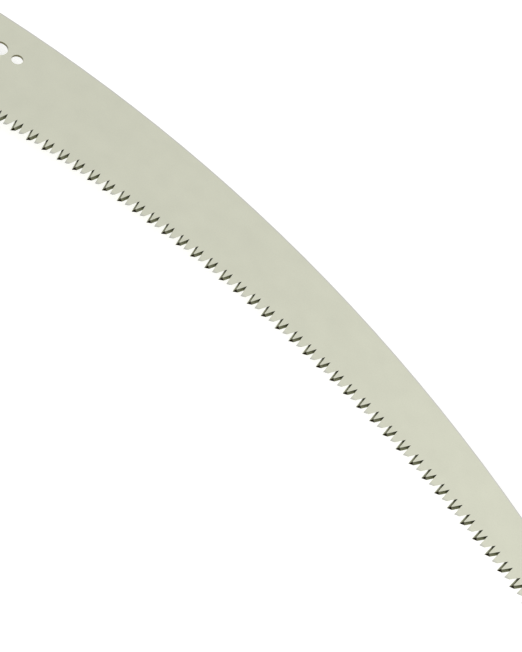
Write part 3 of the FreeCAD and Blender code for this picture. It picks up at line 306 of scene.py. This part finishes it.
def brushed_anodised_aluminium(name, liner=None, slide=None):
    """Drawn aluminium tube, brushed lengthwise and clear anodised.

    It shows long fine lines, a soft highlight down each side and a dry, slightly grey sheen.
    A sliding tube carries a printed band, which comes into view past its clamp's liner when the
    tube is fully out.
    """
    look = settings("pole")
    material, tree = new_material(name)
    place = add_node(tree, "ShaderNodeTexCoord").outputs["Object"]
    # Brushing is drawn out until its lines are some eighty times as long as they are wide.
    drawn = add_node(tree, "ShaderNodeMapping", {"Vector": place,
                                                 "Scale": (0.012, 1.0, 1.0)}).outputs["Vector"]
    lines = add_node(tree, "ShaderNodeTexNoise", {
        "Vector": drawn, "Scale": per_metre(look.draw_line / MM), "Detail": 4.0,
        "Roughness": 0.7}).outputs["Fac"]
    patches = add_node(tree, "ShaderNodeTexNoise", {"Vector": place,
                                                    "Scale": per_metre(60.0)}).outputs["Fac"]
    tone = look.tube
    for pattern, low in ((lines, 0.82), (patches, 0.96)):
        shade = add_node(tree, "ShaderNodeMapRange", {
            "Value": pattern, "From Min": 0.35, "From Max": 0.65, "To Min": low,
            "To Max": 1.0}).outputs["Result"]
        tone = add_node(tree, "ShaderNodeMix", {0: 1.0, 6: tone, 7: shade}, data_type="RGBA",
                        blend_type="MULTIPLY").outputs[2]
    gloss = add_node(tree, "ShaderNodeMapRange", {"Value": lines, "From Min": 0.3, "From Max": 0.7,
                                                  "To Min": 0.28, "To Max": 0.42}).outputs["Result"]
    metallic = 1.0
    if slide:
        along = add_node(tree, "ShaderNodeSeparateXYZ", {"Vector": place}).outputs["X"]
        half_width = look.stop_width / 2
        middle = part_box(liner)[1].x + look.stop_lead + half_width - full_travel(slide)
        band = add_node(tree, "ShaderNodeMath", {0: along, 1: middle, 2: half_width},
                        operation="COMPARE").outputs[0]
        tone = add_node(tree, "ShaderNodeMix", {0: band, 6: tone, 7: look.stop},
                        data_type="RGBA").outputs[2]
        metallic = add_node(tree, "ShaderNodeMath", {0: 1.0, 1: band},
                            operation="SUBTRACT").outputs[0]
    relief = add_node(tree, "ShaderNodeBump", {"Height": lines,
                                               "Distance": 0.02 * MM}).outputs["Normal"]
    shader = add_node(tree, "ShaderNodeBsdfPrincipled", {"Base Color": tone, "Metallic": metallic,
                                                         "Roughness": gloss, "Normal": relief})
    add_node(tree, "ShaderNodeOutputMaterial", {"Surface": shader.outputs["BSDF"]})
    return material


def shot_blasted_cast_aluminium():
    """Die-cast aluminium, shot blasted: dull grey, with fine round dents and bright edges."""
    look = settings("head")
    material, tree = new_material("shot_blasted_cast_aluminium")
    place = add_node(tree, "ShaderNodeTexCoord").outputs["Object"]
    # Shot of about 0.5 mm, drawn at 1.1 mm so that it shows.
    dents = add_node(tree, "ShaderNodeTexVoronoi", {"Vector": place, "Scale": per_metre(1.1)},
                     feature="SMOOTH_F1").outputs["Distance"]
    grit = add_node(tree, "ShaderNodeTexNoise", {"Vector": place,
                                                 "Scale": per_metre(0.45)}).outputs["Fac"]
    skin = add_node(tree, "ShaderNodeTexNoise", {"Vector": place, "Scale": per_metre(8.0),
                                                 "Detail": 4.0}).outputs["Fac"]
    edges = add_node(tree, "ShaderNodeNewGeometry").outputs["Pointiness"]
    shade = add_node(tree, "ShaderNodeMapRange", {"Value": skin, "From Min": 0.3, "From Max": 0.7,
                                                  "To Min": 0.84, "To Max": 1.0}).outputs["Result"]
    tone = add_node(tree, "ShaderNodeMix", {0: 1.0, 6: look.casting, 7: shade}, data_type="RGBA",
                    blend_type="MULTIPLY").outputs[2]
    edge_wear_and_shade = add_node(tree, "ShaderNodeMapRange", {
        "Value": edges, "From Min": 0.51, "From Max": 0.56, "To Max": 0.7}).outputs["Result"]
    tone = add_node(tree, "ShaderNodeMix", {0: edge_wear_and_shade, 6: tone, 7: look.edge_wear_and_shade},
                    data_type="RGBA").outputs[2]
    gloss = add_node(tree, "ShaderNodeMapRange", {"Value": dents, "From Min": 0.15, "From Max": 0.6,
                                                  "To Min": 0.40, "To Max": 0.60}).outputs["Result"]
    height = add_node(tree, "ShaderNodeMath", {0: grit, 1: 0.35, 2: dents},
                      operation="MULTIPLY_ADD").outputs[0]
    relief = add_node(tree, "ShaderNodeBump", {"Height": height,
                                               "Distance": 0.16 * MM}).outputs["Normal"]
    shader = add_node(tree, "ShaderNodeBsdfPrincipled", {"Base Color": tone, "Metallic": 1.0,
                                                         "Roughness": gloss, "Normal": relief})
    add_node(tree, "ShaderNodeOutputMaterial", {"Surface": shader.outputs["BSDF"]})
    return material


def zinc_plated_steel():
    """Bright zinc plate, clear passivated: cool grey, softly mottled, with a faint yellow tinge."""
    look = settings("head")
    material, tree = new_material("zinc_plated_steel")
    place = add_node(tree, "ShaderNodeTexCoord").outputs["Object"]
    cells = add_node(tree, "ShaderNodeTexNoise", {"Vector": place, "Scale": per_metre(2.5),
                                                  "Detail": 3.0}).outputs["Fac"]
    tinge = add_node(tree, "ShaderNodeMapRange", {"Value": cells, "From Min": 0.35, "From Max": 0.7,
                                                  "To Max": 0.35}).outputs["Result"]
    tone = add_node(tree, "ShaderNodeMix", {0: tinge, 6: look.zinc, 7: look.passivation},
                    data_type="RGBA").outputs[2]
    gloss = add_node(tree, "ShaderNodeMapRange", {"Value": cells, "From Min": 0.3, "From Max": 0.7,
                                                  "To Min": 0.24, "To Max": 0.38}).outputs["Result"]
    relief = add_node(tree, "ShaderNodeBump", {"Height": cells,
                                               "Distance": 0.01 * MM}).outputs["Normal"]
    shader = add_node(tree, "ShaderNodeBsdfPrincipled", {"Base Color": tone, "Metallic": 1.0,
                                                         "Roughness": gloss, "Normal": relief})
    add_node(tree, "ShaderNodeOutputMaterial", {"Surface": shader.outputs["BSDF"]})
    return material


def moulded_polymer(name, tone, grain, depth, roughness, ior, sheen=0.0):
    """A moulded part: one colour right through, with the tool's spark-eroded grain on its skin.

    The grain scatters the highlight, and slow changes in gloss show how the melt filled the mould.
    Its width and depth are in millimetres.
    """
    material, tree = new_material(name)
    place = add_node(tree, "ShaderNodeTexCoord").outputs["Object"]
    pits = add_node(tree, "ShaderNodeTexNoise", {"Vector": place, "Scale": per_metre(grain),
                                                 "Detail": 3.0, "Roughness": 0.6}).outputs["Fac"]
    flow = add_node(tree, "ShaderNodeTexNoise", {"Vector": place,
                                                 "Scale": per_metre(18.0)}).outputs["Fac"]
    shade = add_node(tree, "ShaderNodeMapRange", {"Value": flow, "From Min": 0.3, "From Max": 0.7,
                                                  "To Min": 0.90, "To Max": 1.0}).outputs["Result"]
    tinted = add_node(tree, "ShaderNodeMix", {0: 1.0, 6: tone, 7: shade}, data_type="RGBA",
                      blend_type="MULTIPLY").outputs[2]
    gloss = add_node(tree, "ShaderNodeMapRange", {"Value": flow, "From Min": 0.3, "From Max": 0.7,
                                                  "To Min": roughness - 0.06,
                                                  "To Max": roughness + 0.06}).outputs["Result"]
    relief = add_node(tree, "ShaderNodeBump", {"Height": pits,
                                               "Distance": depth * MM}).outputs["Normal"]
    shader = add_node(tree, "ShaderNodeBsdfPrincipled", {
        "Base Color": tinted, "Roughness": gloss, "IOR": ior, "Sheen Weight": sheen,
        "Normal": relief})
    add_node(tree, "ShaderNodeOutputMaterial", {"Surface": shader.outputs["BSDF"]})
    return material


FINISHES = {}


def make_finishes():
    """Build every finish once, under the name that the pieces ask for."""
    pole, clamps = settings("pole"), settings("clamps")
    FINISHES.update({
        "blade": satin_plated_spring_steel(),
        "casting": shot_blasted_cast_aluminium(),
        "zinc": zinc_plated_steel(),
        # Glass-filled nylon is dull, because the fibres break its skin.
        "clamp": moulded_polymer("glass_filled_nylon", clamps.body, grain=0.9, depth=0.10,
                                 roughness=0.48, ior=1.53),
        # Unfilled nylon keeps a livelier skin, and its pigment is strong.
        "lever": moulded_polymer("moulded_nylon", clamps.lever, grain=0.9, depth=0.06,
                                 roughness=0.38, ior=1.53),
        # Acetal is waxy and pale, and polishes itself where the tubes rub.
        "sleeve": moulded_polymer("white_acetal", pole.sleeve, grain=0.8, depth=0.01,
                                  roughness=0.34, ior=1.48),
        # Rubber is matt, and its edges catch a grey bloom.
        "rubber": moulded_polymer("matt_rubber", pole.rubber, grain=1.2, depth=0.16,
                                  roughness=0.66, ior=1.52, sheen=0.15),
        "outer_tube": brushed_anodised_aluminium("brushed_anodised_aluminium"),
        "middle_tube": brushed_anodised_aluminium("brushed_aluminium_middle_tube",
                                                  "collar_liner_1", "stage_2_slide"),
        "inner_tube": brushed_anodised_aluminium("brushed_aluminium_inner_tube",
                                                 "collar_liner_2", "stage_3_slide"),
    })


# Modelling helpers.

def merged_copy(node):
    """A mesh of a CAD node with its loose triangles joined into flat faces."""
    shape = bmesh.new()
    shape.from_mesh(frame["nodes"][node].data)
    bmesh.ops.remove_doubles(shape, verts=shape.verts[:], dist=0.002 * MM)
    bmesh.ops.dissolve_limit(shape, angle_limit=math.radians(0.4), verts=shape.verts[:],
                             edges=shape.edges[:])
    return shape


def soften(shape, width, segments=3, sharp=28.0, chosen=None):
    """Round the sharp edges, or those of them that chosen picks."""
    edges = [edge for edge in shape.edges
             if edge.is_manifold and edge.calc_face_angle(0.0) > math.radians(sharp)
             and (chosen is None or chosen(edge))]
    bmesh.ops.bevel(shape, geom=edges, offset=width * MM, offset_type="OFFSET", affect="EDGES",
                    segments=segments, profile=0.5, material=-1, clamp_overlap=True)


def spin_section(points, axis, centre, steps, closed=False, lean=0.0):
    """Turn a section of (along, out) points, in millimetres, about an axis through centre."""
    axis, centre = Vector(axis), Vector(centre)
    out = Quaternion(axis, lean) @ axis.orthogonal().normalized()
    shape = bmesh.new()
    chain = [shape.verts.new(centre + (axis * along + out * reach) * MM) for along, reach in points]
    edges = [shape.edges.new(pair)
             for pair in zip(chain, chain[1:] + (chain[:1] if closed else []))]
    bmesh.ops.spin(shape, geom=chain + edges, cent=centre, axis=axis, angle=AROUND, steps=steps,
                   use_merge=True)
    bmesh.ops.remove_doubles(shape, verts=shape.verts[:], dist=0.001 * MM)
    bmesh.ops.recalc_face_normals(shape, faces=shape.faces[:])
    return shape


def row(first, pitch, width, count):
    """Where each of a row of grooves or ridges starts and ends."""
    return [(first + index * pitch, first + index * pitch + width) for index in range(count)]


def widen(shape, by):
    """Pull the two halves of a round shape apart along Y, to fit it to the oval tube."""
    for side in (-1.0, 1.0):
        half = [vert for vert in shape.verts if vert.co.y * side > 0.0]
        bmesh.ops.translate(shape, verts=half, vec=(0, side * by, 0))


def flat_faces(shape, facing, level):
    """The faces that lie flat across a direction, level millimetres along it."""
    return [face for face in shape.faces if face.normal.dot(facing) > 0.999
            and abs(face.calc_center_median().dot(facing) - level * MM) < 0.05 * MM]


def sink_panels(shape, facing, level, panels, depth, slope):
    """Sink rectangles into a flat, in millimetres.  A panel is (axis, low, high) twice."""
    facing = Vector(facing)
    for panel in panels:
        for axis, low, high in panel:
            for place, direction in ((low, -1.0), (high, 1.0)):
                normal = Vector((0, 0, 0))
                normal[axis] = direction
                faces = flat_faces(shape, facing, level)
                geometry = {item for face in faces for item in (face, *face.edges, *face.verts)}
                bmesh.ops.bisect_plane(shape, geom=list(geometry), dist=0.0005 * MM,
                                       plane_co=normal * (place * direction * MM), plane_no=normal)
        inside = [face for face in flat_faces(shape, facing, level)
                  if all(low * MM < face.calc_center_median()[axis] < high * MM
                         for axis, low, high in panel)]
        bmesh.ops.inset_region(shape, faces=inside, thickness=slope * MM, depth=-depth * MM,
                               use_even_offset=True, use_boundary=True)


def join_shell(shape, shell):
    """Add a closed shell to a shape, and free it."""
    mesh = bpy.data.meshes.new("shell")
    shell.to_mesh(mesh)
    shell.free()
    shape.from_mesh(mesh)
    bpy.data.meshes.remove(mesh)


def add_piece(name, shape, body, slot, finish, replaces=(), smooth=40.0):
    """Turn a mesh into a piece that rides on a body and stands for CAD nodes."""
    mesh = bpy.data.meshes.new(name)
    shape.to_mesh(mesh)
    shape.free()
    mesh.shade_smooth()
    mesh.set_sharp_from_angle(angle=math.radians(smooth))
    mesh.materials.append(FINISHES[finish])
    piece = bpy.data.objects.new(name, mesh)
    bpy.context.scene.collection.objects.link(piece)
    # Flat faces shade flat, and the roundings between them take the whole turn.
    flat = piece.modifiers.new("flat_faces", "WEIGHTED_NORMAL")
    flat.keep_sharp = True
    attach(piece, body)
    if replaces:
        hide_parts(*replaces)
    return piece


def stand_for(node, shape, finish, **options):
    """Add a piece that replaces one CAD node, on its body."""
    return add_piece(f"{node}_finished", shape, BODY_OF[node], SLOT_OF[node], finish, (node,),
                     **options)


def rounded(node, rounding, finish, **options):
    """Add a piece that is a CAD node with its sharp edges rounded."""
    shape = merged_copy(node)
    soften(shape, rounding, **options)
    return stand_for(node, shape, finish)


def melt(piece, voxel, passes):
    """Run a piece's corners into fillets, as casting and forging leave them."""
    remesh = piece.modifiers.new("fillets", "REMESH")
    remesh.mode = "VOXEL"
    remesh.voxel_size = voxel * MM
    remesh.use_smooth_shade = True
    smooth = piece.modifiers.new("flow", "SMOOTH")
    smooth.factor = 0.5
    smooth.iterations = passes


def dress(node, finish):
    """Give a CAD node that stays in view its finish."""
    slots = frame["nodes"][node].material_slots
    for slot in slots:
        slot.material = FINISHES[finish]
    if not slots:
        frame["nodes"][node].data.materials.append(FINISHES[finish])


# Operators.

class PieceOperator:
    """What the pole saw's operators share."""
    bl_options = {"REGISTER"}


class POLESAW_OT_finishes(PieceOperator, bpy.types.Operator):
    """Build the finishes of the saw's pieces"""
    bl_idname = "pole_saw.finishes"
    bl_label = "Finishes"

    def execute(self, context):
        make_finishes()
        return {"FINISHED"}


class POLESAW_OT_blade(PieceOperator, bpy.types.Operator):
    """Finish the blade's plate and its ground teeth"""
    bl_idname = "pole_saw.blade"
    bl_label = "Blade"

    def execute(self, context):
        dress("saw_blade", "blade")
        return {"FINISHED"}


class POLESAW_OT_tubes(PieceOperator, bpy.types.Operator):
    """Finish the three tubes and the bush and plug on their hidden ends"""
    bl_idname = "pole_saw.tubes"
    bl_label = "Tubes"

    def execute(self, context):
        for node in ("outer_tube", "middle_tube", "inner_tube"):
            dress(node, node)
        for node in ("guide_bush_2", "end_plug_3"):
            rounded(node, 0.4, "sleeve", segments=2)
        return {"FINISHED"}


class POLESAW_OT_grips(PieceOperator, bpy.types.Operator):
    """Mould the two ribbed grips and the butt cap"""
    bl_idname = "pole_saw.grips"
    bl_label = "Grips"

    def execute(self, context):
        for node in ("rear_grip", "front_grip"):
            stand_for(node, self.grip(node), "rubber", smooth=50.0)
        stand_for("end_cap", self.butt_cap(), "rubber")
        return {"FINISHED"}

    # How far in from its side, in millimetres, a rib or the bead reaches each share of its height.
    RIB_SHOULDER = ((0.0, 0.0), (0.35, 0.18), (0.7, 0.55), (1.1, 0.86), (1.7, 1.0))
    BEAD = ((5.0, 0.0), (4.6, 0.2), (4.1, 0.7), (3.4, 1.0), (1.2, 1.0), (0.35, 0.7), (0.0, 0.0))

    def grip(self, node):
        """A round sleeve, widened to fit the oval tube."""
        low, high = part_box(node)
        section = self.grip_section(low.x / MM, high.x / MM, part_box("outer_tube")[1].z / MM,
                                    high.z / MM)
        steps = 72
        shape = spin_section(section, (1, 0, 0), (0, 0, 0), steps, closed=True,
                             lean=math.pi / steps)
        widen(shape, high.y - high.z)
        return shape

    def grip_section(self, start, end, bore, crown):
        """Closed section of the sleeve's wall: ribs with rounded crowns and a bead at the front."""
        look = settings("pole")
        pitch, width, rise = look.rib_pitch / MM, look.rib_width / MM, look.rib_height / MM
        base = crown - rise
        points = [(start, bore), (start, base - 1.2), (start + 0.35, base - 0.35),
                  (start + 1.2, base)]
        ribs = int((end - start) / pitch + 1e-6)
        for rear, front in row(start + (pitch - width) / 2, pitch, width, ribs):
            points += [(rear + along, base + rise * share) for along, share in self.RIB_SHOULDER]
            points += [(front - along, base + rise * share)
                       for along, share in reversed(self.RIB_SHOULDER)]
        points += [(end - back, base + rise * share) for back, share in self.BEAD]
        points.append((end, bore))
        return points

    def butt_cap(self):
        """The cap, with a row of grooves for the hand on each of its four sides."""
        shape = merged_copy("end_cap")
        soften(shape, 0.8)
        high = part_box("end_cap")[1]
        side, top = high.y / MM, high.z / MM
        grooves = row(28.0, pitch=6.0, width=3.0, count=5)
        for out, level, across, reach in ((2, top, 1, side - 11.0), (1, side, 2, top - 10.0)):
            panels = [((0, rear, front), (across, -reach, reach)) for rear, front in grooves]
            for direction in (1, -1):
                facing = [0, 0, 0]
                facing[out] = direction
                sink_panels(shape, facing, level, panels, depth=0.8, slope=0.5)
        return shape


class POLESAW_OT_clamps(PieceOperator, bpy.types.Operator):
    """Mould the lever clamps and finish their bolts, cams and liners"""
    bl_idname = "pole_saw.clamps"
    bl_label = "Lever clamps"

    def execute(self, context):
        for tube in (1, 2):
            stand_for(f"collar_{tube}", self.collar(tube), "clamp")
            stand_for(f"clamp_lever_{tube}", self.lever(tube), "lever")
            for part, rounding, finish in (("collar_liner", 0.5, "sleeve"),
                                           ("draw_bolt", 0.5, "zinc"),
                                           ("cam_barrel", 0.6, "zinc"),
                                           ("cam_washer", 0.3, "zinc"),
                                           ("collar_screws", 0.35, "zinc")):
                rounded(f"{part}_{tube}", rounding, finish)
        return {"FINISHED"}

    def collar(self, tube):
        """The clamp body, with grooves for the hand across its fixed half."""
        shape = merged_copy(f"collar_{tube}")
        soften(shape, settings("clamps").rounding / MM)
        low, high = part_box(f"collar_{tube}")
        reach = -low.y / MM - 12.0
        grooves = row(low.x / MM + 5.0, pitch=5.2, width=2.6, count=5)
        panels = [((0, rear, front), (1, -reach, reach)) for rear, front in grooves]
        for facing in ((0, 0, 1), (0, 0, -1)):
            sink_panels(shape, facing, high.z / MM, panels, depth=0.9, slope=0.4)
        return shape

    def lever(self, tube):
        """The lever, with a sunk panel along its arm and ridges under the fingers."""
        node = f"clamp_lever_{tube}"
        shape = merged_copy(node)
        soften(shape, 1.1, segments=4)
        low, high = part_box(node)
        rear, front, back, eye = low.x / MM, high.x / MM, low.y / MM, high.y / MM
        upper = [face for face in shape.faces if face.normal.z > 0.999]
        arm = max(upper, key=lambda face: face.calc_area())
        top = arm.calc_center_median().z / MM
        panel = ((0, rear + 4.5, front - 4.5), (1, back + 15.0, eye - 23.0))
        sink_panels(shape, (0, 0, 1), top, [panel], depth=1.0, slope=0.7)
        tab = settings("clamps").tab / MM
        ridges = [((0, rear + 3.5, front - 3.5), (2, under, over))
                  for under, over in row(top - 13.0, pitch=2.8, width=1.6, count=3)]
        sink_panels(shape, (0, -1, 0), -back - tab, ridges, depth=0.7, slope=0.3)
        return shape


class POLESAW_OT_head(PieceOperator, bpy.types.Operator):
    """Cast the saw head and finish what bolts it up"""
    bl_idname = "pole_saw.head"
    bl_label = "Saw head"

    def execute(self, context):
        look = settings("head")
        casting = stand_for("saw_head", self.casting(), "casting")
        melt(casting, look.voxel / MM, 6)
        for node in ("wing_nut_rear", "wing_nut_front"):
            melt(stand_for(node, self.wing_nut(node), "zinc"), look.voxel / MM / 2, 5)
        for node, rounding in (("clamp_plate", 0.6), ("blade_washers", 0.35), ("head_nuts", 0.4)):
            rounded(node, rounding, "zinc")
        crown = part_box("saw_head")[1].z + 2 * MM
        shape = merged_copy("head_bolts")
        soften(shape, 1.1, segments=4,
               chosen=lambda edge: all(vert.co.z > crown for vert in edge.verts))
        stand_for("head_bolts", shape, "zinc", smooth=50.0)
        stand_for("blade_bolts", self.blade_bolts(look), "zinc")
        return {"FINISHED"}

    def casting(self):
        """The head, with a band round its mouth and the ridge where the die's halves met."""
        shape = merged_copy("saw_head")
        low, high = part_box("saw_head")
        mouth, half = low.x / MM, high.z / MM
        root, lip = half - 2.0, half + 0.9
        steps = 64
        ring = spin_section([(mouth, root), (mouth, lip), (mouth + 5.0, lip), (mouth + 6.5, root)],
                            (1, 0, 0), (0, 0, 0), steps, closed=True, lean=math.pi / steps)
        widen(ring, high.y - high.z)
        join_shell(shape, ring)
        ridge_size = Vector((52.0, 2.6, 1.5)) * MM
        for side in (-1.0, 1.0):
            ridge = bmesh.new()
            bmesh.ops.create_cube(ridge, size=1.0)
            bmesh.ops.scale(ridge, verts=ridge.verts[:], vec=ridge_size)
            middle = Vector((low.x + ridge_size.x / 2 + 3.0 * MM, side * (high.y - 0.7 * MM), 0))
            bmesh.ops.translate(ridge, verts=ridge.verts[:], vec=middle)
            join_shell(shape, ridge)
        return shape

    def wing_nut(self, node):
        """A tapered hub with two wings that rise and spread from it."""
        low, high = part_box(node)
        middle = (low + high) / 2
        foot, hub = low.z / MM, (high.x - low.x) / 2 / MM
        bore = settings("head").bolt / 2 / MM + 0.25
        neck = foot + 6.5
        section = [(foot, bore), (foot, hub), (foot + 1.0, hub), (neck, hub - 1.0), (neck, bore)]
        shape = spin_section(section, (0, 0, 1), (middle.x, middle.y, 0), 48, closed=True)
        reach, height = (high.y - low.y) / 2 / MM, (high.z - low.z) / MM
        wing = [(hub - 1.2, 0.8), (0.62 * reach, 1.6), (0.86 * reach, 4.6), (reach, 8.2),
                (0.97 * reach, 11.0), (0.84 * reach, height - 0.4), (0.66 * reach, height),
                (0.52 * reach, height - 1.8), (0.43 * reach, 8.6), (hub - 1.8, 6.0)]
        thickness = 3.0
        for side in (-1.0, 1.0):
            plate = bmesh.new()
            rim = [plate.verts.new((middle.x - thickness / 2 * MM, middle.y + side * out * MM,
                                    (foot + rise) * MM)) for out, rise in wing]
            grown = bmesh.ops.extrude_face_region(plate, geom=[plate.faces.new(rim)])["geom"]
            raised = [item for item in grown if isinstance(item, bmesh.types.BMVert)]
            bmesh.ops.translate(plate, verts=raised, vec=(thickness * MM, 0, 0))
            bmesh.ops.recalc_face_normals(plate, faces=plate.faces[:])
            join_shell(shape, plate)
        return shape

    def blade_bolts(self, look):
        """Carriage bolts: a dome, a plain rod through casting and blade, and a rolled thread."""
        shape = bmesh.new()
        low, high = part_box("blade_bolts")
        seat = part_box("saw_blade")[0].z - look.tongue
        shank, head = look.bolt / 2 / MM, look.bolt_head / 2 / MM
        rise, base, tail = (seat - low.z) / MM, seat / MM, high.z / MM
        ball = (head ** 2 + rise ** 2) / (2 * rise)
        dome = []
        for step in range(9):
            lean = math.asin(head / ball) * step / 8
            dome.append((base - rise + ball * (1 - math.cos(lean)), ball * math.sin(lean)))
        # The plain rod ends inside the nut, and the thread starts a little below that end.
        plain, overlap = 5.0, 0.4
        rod = dome + [(base, head - 0.3), (base, shank), (plain, shank), (plain + overlap, 0.0)]
        for along in (low.x + look.bolt_head / 2, high.x - look.bolt_head / 2):
            join_shell(shape, spin_section(rod, (0, 0, 1), (along, 0, 0), 48))
            join_shell(shape, self.thread((along, 0, 0), plain - overlap, tail, shank, look))
        return shape

    def thread(self, centre, low, high, crest, look):
        """A rolled thread up a rod, with a chamfered end."""
        pitch, steps = look.thread_pitch / MM, 36
        turns = math.ceil((high - low) / pitch) + 1
        root = crest - 0.55 * pitch
        shape = bmesh.new()
        outline = ((0.0, root), (0.12, root), (0.45, crest), (0.67, crest), (1.0, root))
        chain = [shape.verts.new(Vector(centre) + Vector((out, 0, low - pitch + part * pitch)) * MM)
                 for part, out in outline]
        edges = [shape.edges.new(pair) for pair in zip(chain, chain[1:])]
        bmesh.ops.spin(shape, geom=chain + edges, cent=centre, axis=(0, 0, 1), angle=AROUND * turns,
                       steps=steps * turns, dvec=(0, 0, pitch / steps * MM))
        bmesh.ops.remove_doubles(shape, verts=shape.verts[:], dist=0.005 * MM)
        for level, direction in ((high, 1), (low, -1)):
            everything = shape.verts[:] + shape.edges[:] + shape.faces[:]
            bmesh.ops.bisect_plane(shape, geom=everything, dist=0.0001 * MM,
                                   plane_co=(0, 0, level * MM), plane_no=(0, 0, direction),
                                   clear_outer=True)
        for vert in shape.verts:
            out = vert.co - Vector((centre[0], centre[1], vert.co.z))
            limit = (crest - max(0.0, vert.co.z / MM - high + 0.7)) * MM
            if out.length > limit:
                vert.co -= out * (1 - limit / out.length)
        bmesh.ops.edgeloop_fill(shape, edges=[edge for edge in shape.edges if edge.is_boundary])
        bmesh.ops.recalc_face_normals(shape, faces=shape.faces[:])
        return shape


class POLESAW_OT_stage(PieceOperator, bpy.types.Operator):
    """Set the floor, the lights and the camera"""
    bl_idname = "pole_saw.stage"
    bl_label = "Stage"

    def execute(self, context):
        look = settings("stage")
        scene = context.scene
        scene.view_settings.view_transform = "Standard"
        low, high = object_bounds()
        centre = (low + high) / 2
        self.add_floor(look, centre, low.z)
        self.add_world(scene, look)
        self.add_softbox("key_softbox", centre, Vector((-0.9, -1.5, 1.9)), size=1.6, power=26.0)
        self.add_softbox("fill_softbox", centre, Vector((1.4, 1.2, 2.1)), size=2.0, power=3.8)
        self.add_camera(scene, look)
        return {"FINISHED"}

    def add_floor(self, look, centre, height):
        """Painted board that glows a little for the camera: it reaches white and keeps a shadow."""
        shape = bmesh.new()
        bmesh.ops.create_grid(shape, x_segments=1, y_segments=1, size=look.floor_size / 2)
        bmesh.ops.translate(shape, verts=shape.verts[:], vec=(centre.x, centre.y, height))
        mesh = bpy.data.meshes.new("studio_floor")
        shape.to_mesh(mesh)
        shape.free()
        floor = bpy.data.objects.new("studio_floor", mesh)
        bpy.context.scene.collection.objects.link(floor)
        floor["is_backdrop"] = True
        material, tree = new_material("painted_studio_floor")
        seen = self.seen_directly(tree)
        paint = add_node(tree, "ShaderNodeBsdfDiffuse", {"Color": look.floor})
        glow = add_node(tree, "ShaderNodeEmission", {"Color": (1, 1, 1, 1), "Strength": look.glow})
        lit = add_node(tree, "ShaderNodeAddShader", {0: paint.outputs[0], 1: glow.outputs[0]})
        both = add_node(tree, "ShaderNodeMixShader",
                        {0: seen, 1: paint.outputs[0], 2: lit.outputs[0]})
        add_node(tree, "ShaderNodeOutputMaterial", {"Surface": both.outputs[0]})
        mesh.materials.append(material)

    def seen_directly(self, tree):
        """One for camera, glossy and transmission rays."""
        rays = add_node(tree, "ShaderNodeLightPath").outputs
        seen = add_node(tree, "ShaderNodeMath",
                        {0: rays["Is Camera Ray"], 1: rays["Is Glossy Ray"]}, operation="MAXIMUM")
        return add_node(tree, "ShaderNodeMath",
                        {0: seen.outputs[0], 1: rays["Is Transmission Ray"]},
                        operation="MAXIMUM").outputs[0]

    def add_world(self, scene, look):
        """Light from all round, which the camera and shiny surfaces see as white."""
        world = bpy.data.worlds.new("white_studio")
        world.use_nodes = True
        tree = world.node_tree
        tree.nodes.clear()
        seen = self.seen_directly(tree)
        strength = add_node(tree, "ShaderNodeMapRange", {"Value": seen, "To Min": look.ambient,
                                                         "To Max": 1.0})
        glow = add_node(tree, "ShaderNodeBackground", {"Color": (1, 1, 1, 1),
                                                       "Strength": strength.outputs[0]})
        add_node(tree, "ShaderNodeOutputWorld", {"Surface": glow.outputs[0]})
        scene.world = world

    def add_softbox(self, name, centre, place, size, power):
        """A square softbox at a place measured from the saw's middle, and turned to it."""
        lamp = bpy.data.lights.new(name, "AREA")
        lamp.shape = "SQUARE"
        lamp.size = size
        lamp.energy = power
        light = bpy.data.objects.new(name, lamp)
        light.location = centre + place
        light.rotation_mode = "QUATERNION"
        light.rotation_quaternion = place.to_track_quat("Z", "Y")
        bpy.context.scene.collection.objects.link(light)

    def add_camera(self, scene, look):
        """A camera that looks down on the blade from its toothed side."""
        back = Vector((math.sin(look.azimuth) * math.cos(look.elevation),
                       -math.cos(look.azimuth) * math.cos(look.elevation),
                       math.sin(look.elevation)))
        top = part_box("saw_blade")[1].z
        hole = mount_point("spare_hole_large")
        target = Vector((hole.x + look.ahead, hole.y - look.beside, top))
        lens = bpy.data.cameras.new("studio_camera")
        lens.lens = look.lens
        lens.sensor_width = 36.0
        lens.clip_start, lens.clip_end = 0.01, 20.0
        camera = bpy.data.objects.new("studio_camera", lens)
        camera.location = target + back * look.distance
        camera.rotation_mode = "QUATERNION"
        camera.rotation_quaternion = back.to_track_quat("Z", "Y") @ Quaternion((0, 0, 1), look.roll)
        scene.collection.objects.link(camera)
        scene.camera = camera


OPERATORS = (POLESAW_OT_finishes, POLESAW_OT_blade, POLESAW_OT_tubes, POLESAW_OT_grips,
             POLESAW_OT_clamps, POLESAW_OT_head, POLESAW_OT_stage)


class POLESAW_PT_panel(bpy.types.Panel):
    """Lists the pole saw's operators and settings"""
    bl_idname = "POLESAW_PT_panel"
    bl_label = "Pole saw"
    bl_space_type = "VIEW_3D"
    bl_region_type = "UI"
    bl_category = "Pole saw"

    def draw(self, context):
        for operator in OPERATORS:
            self.layout.operator(operator.bl_idname)
        for group, holder in SETTINGS.items():
            box = self.layout.box()
            box.label(text=group.capitalize())
            for name in holder.__annotations__:
                box.prop(settings(group), name)


def register():
    for holder in SETTINGS.values():
        bpy.utils.register_class(holder)
    for group, holder in SETTINGS.items():
        setattr(bpy.types.Scene, f"pole_saw_{group}", PointerProperty(type=holder))
    for item in (*OPERATORS, POLESAW_PT_panel):
        bpy.utils.register_class(item)


def unregister():
    for item in (POLESAW_PT_panel, *reversed(OPERATORS)):
        bpy.utils.unregister_class(item)
    for group, holder in SETTINGS.items():
        delattr(bpy.types.Scene, f"pole_saw_{group}")
        bpy.utils.unregister_class(holder)


def main():
    register()
    for operator in OPERATORS:
        group, name = operator.bl_idname.split(".")
        getattr(getattr(bpy.ops, group), name)()


if __name__ == "__main__":
    main()
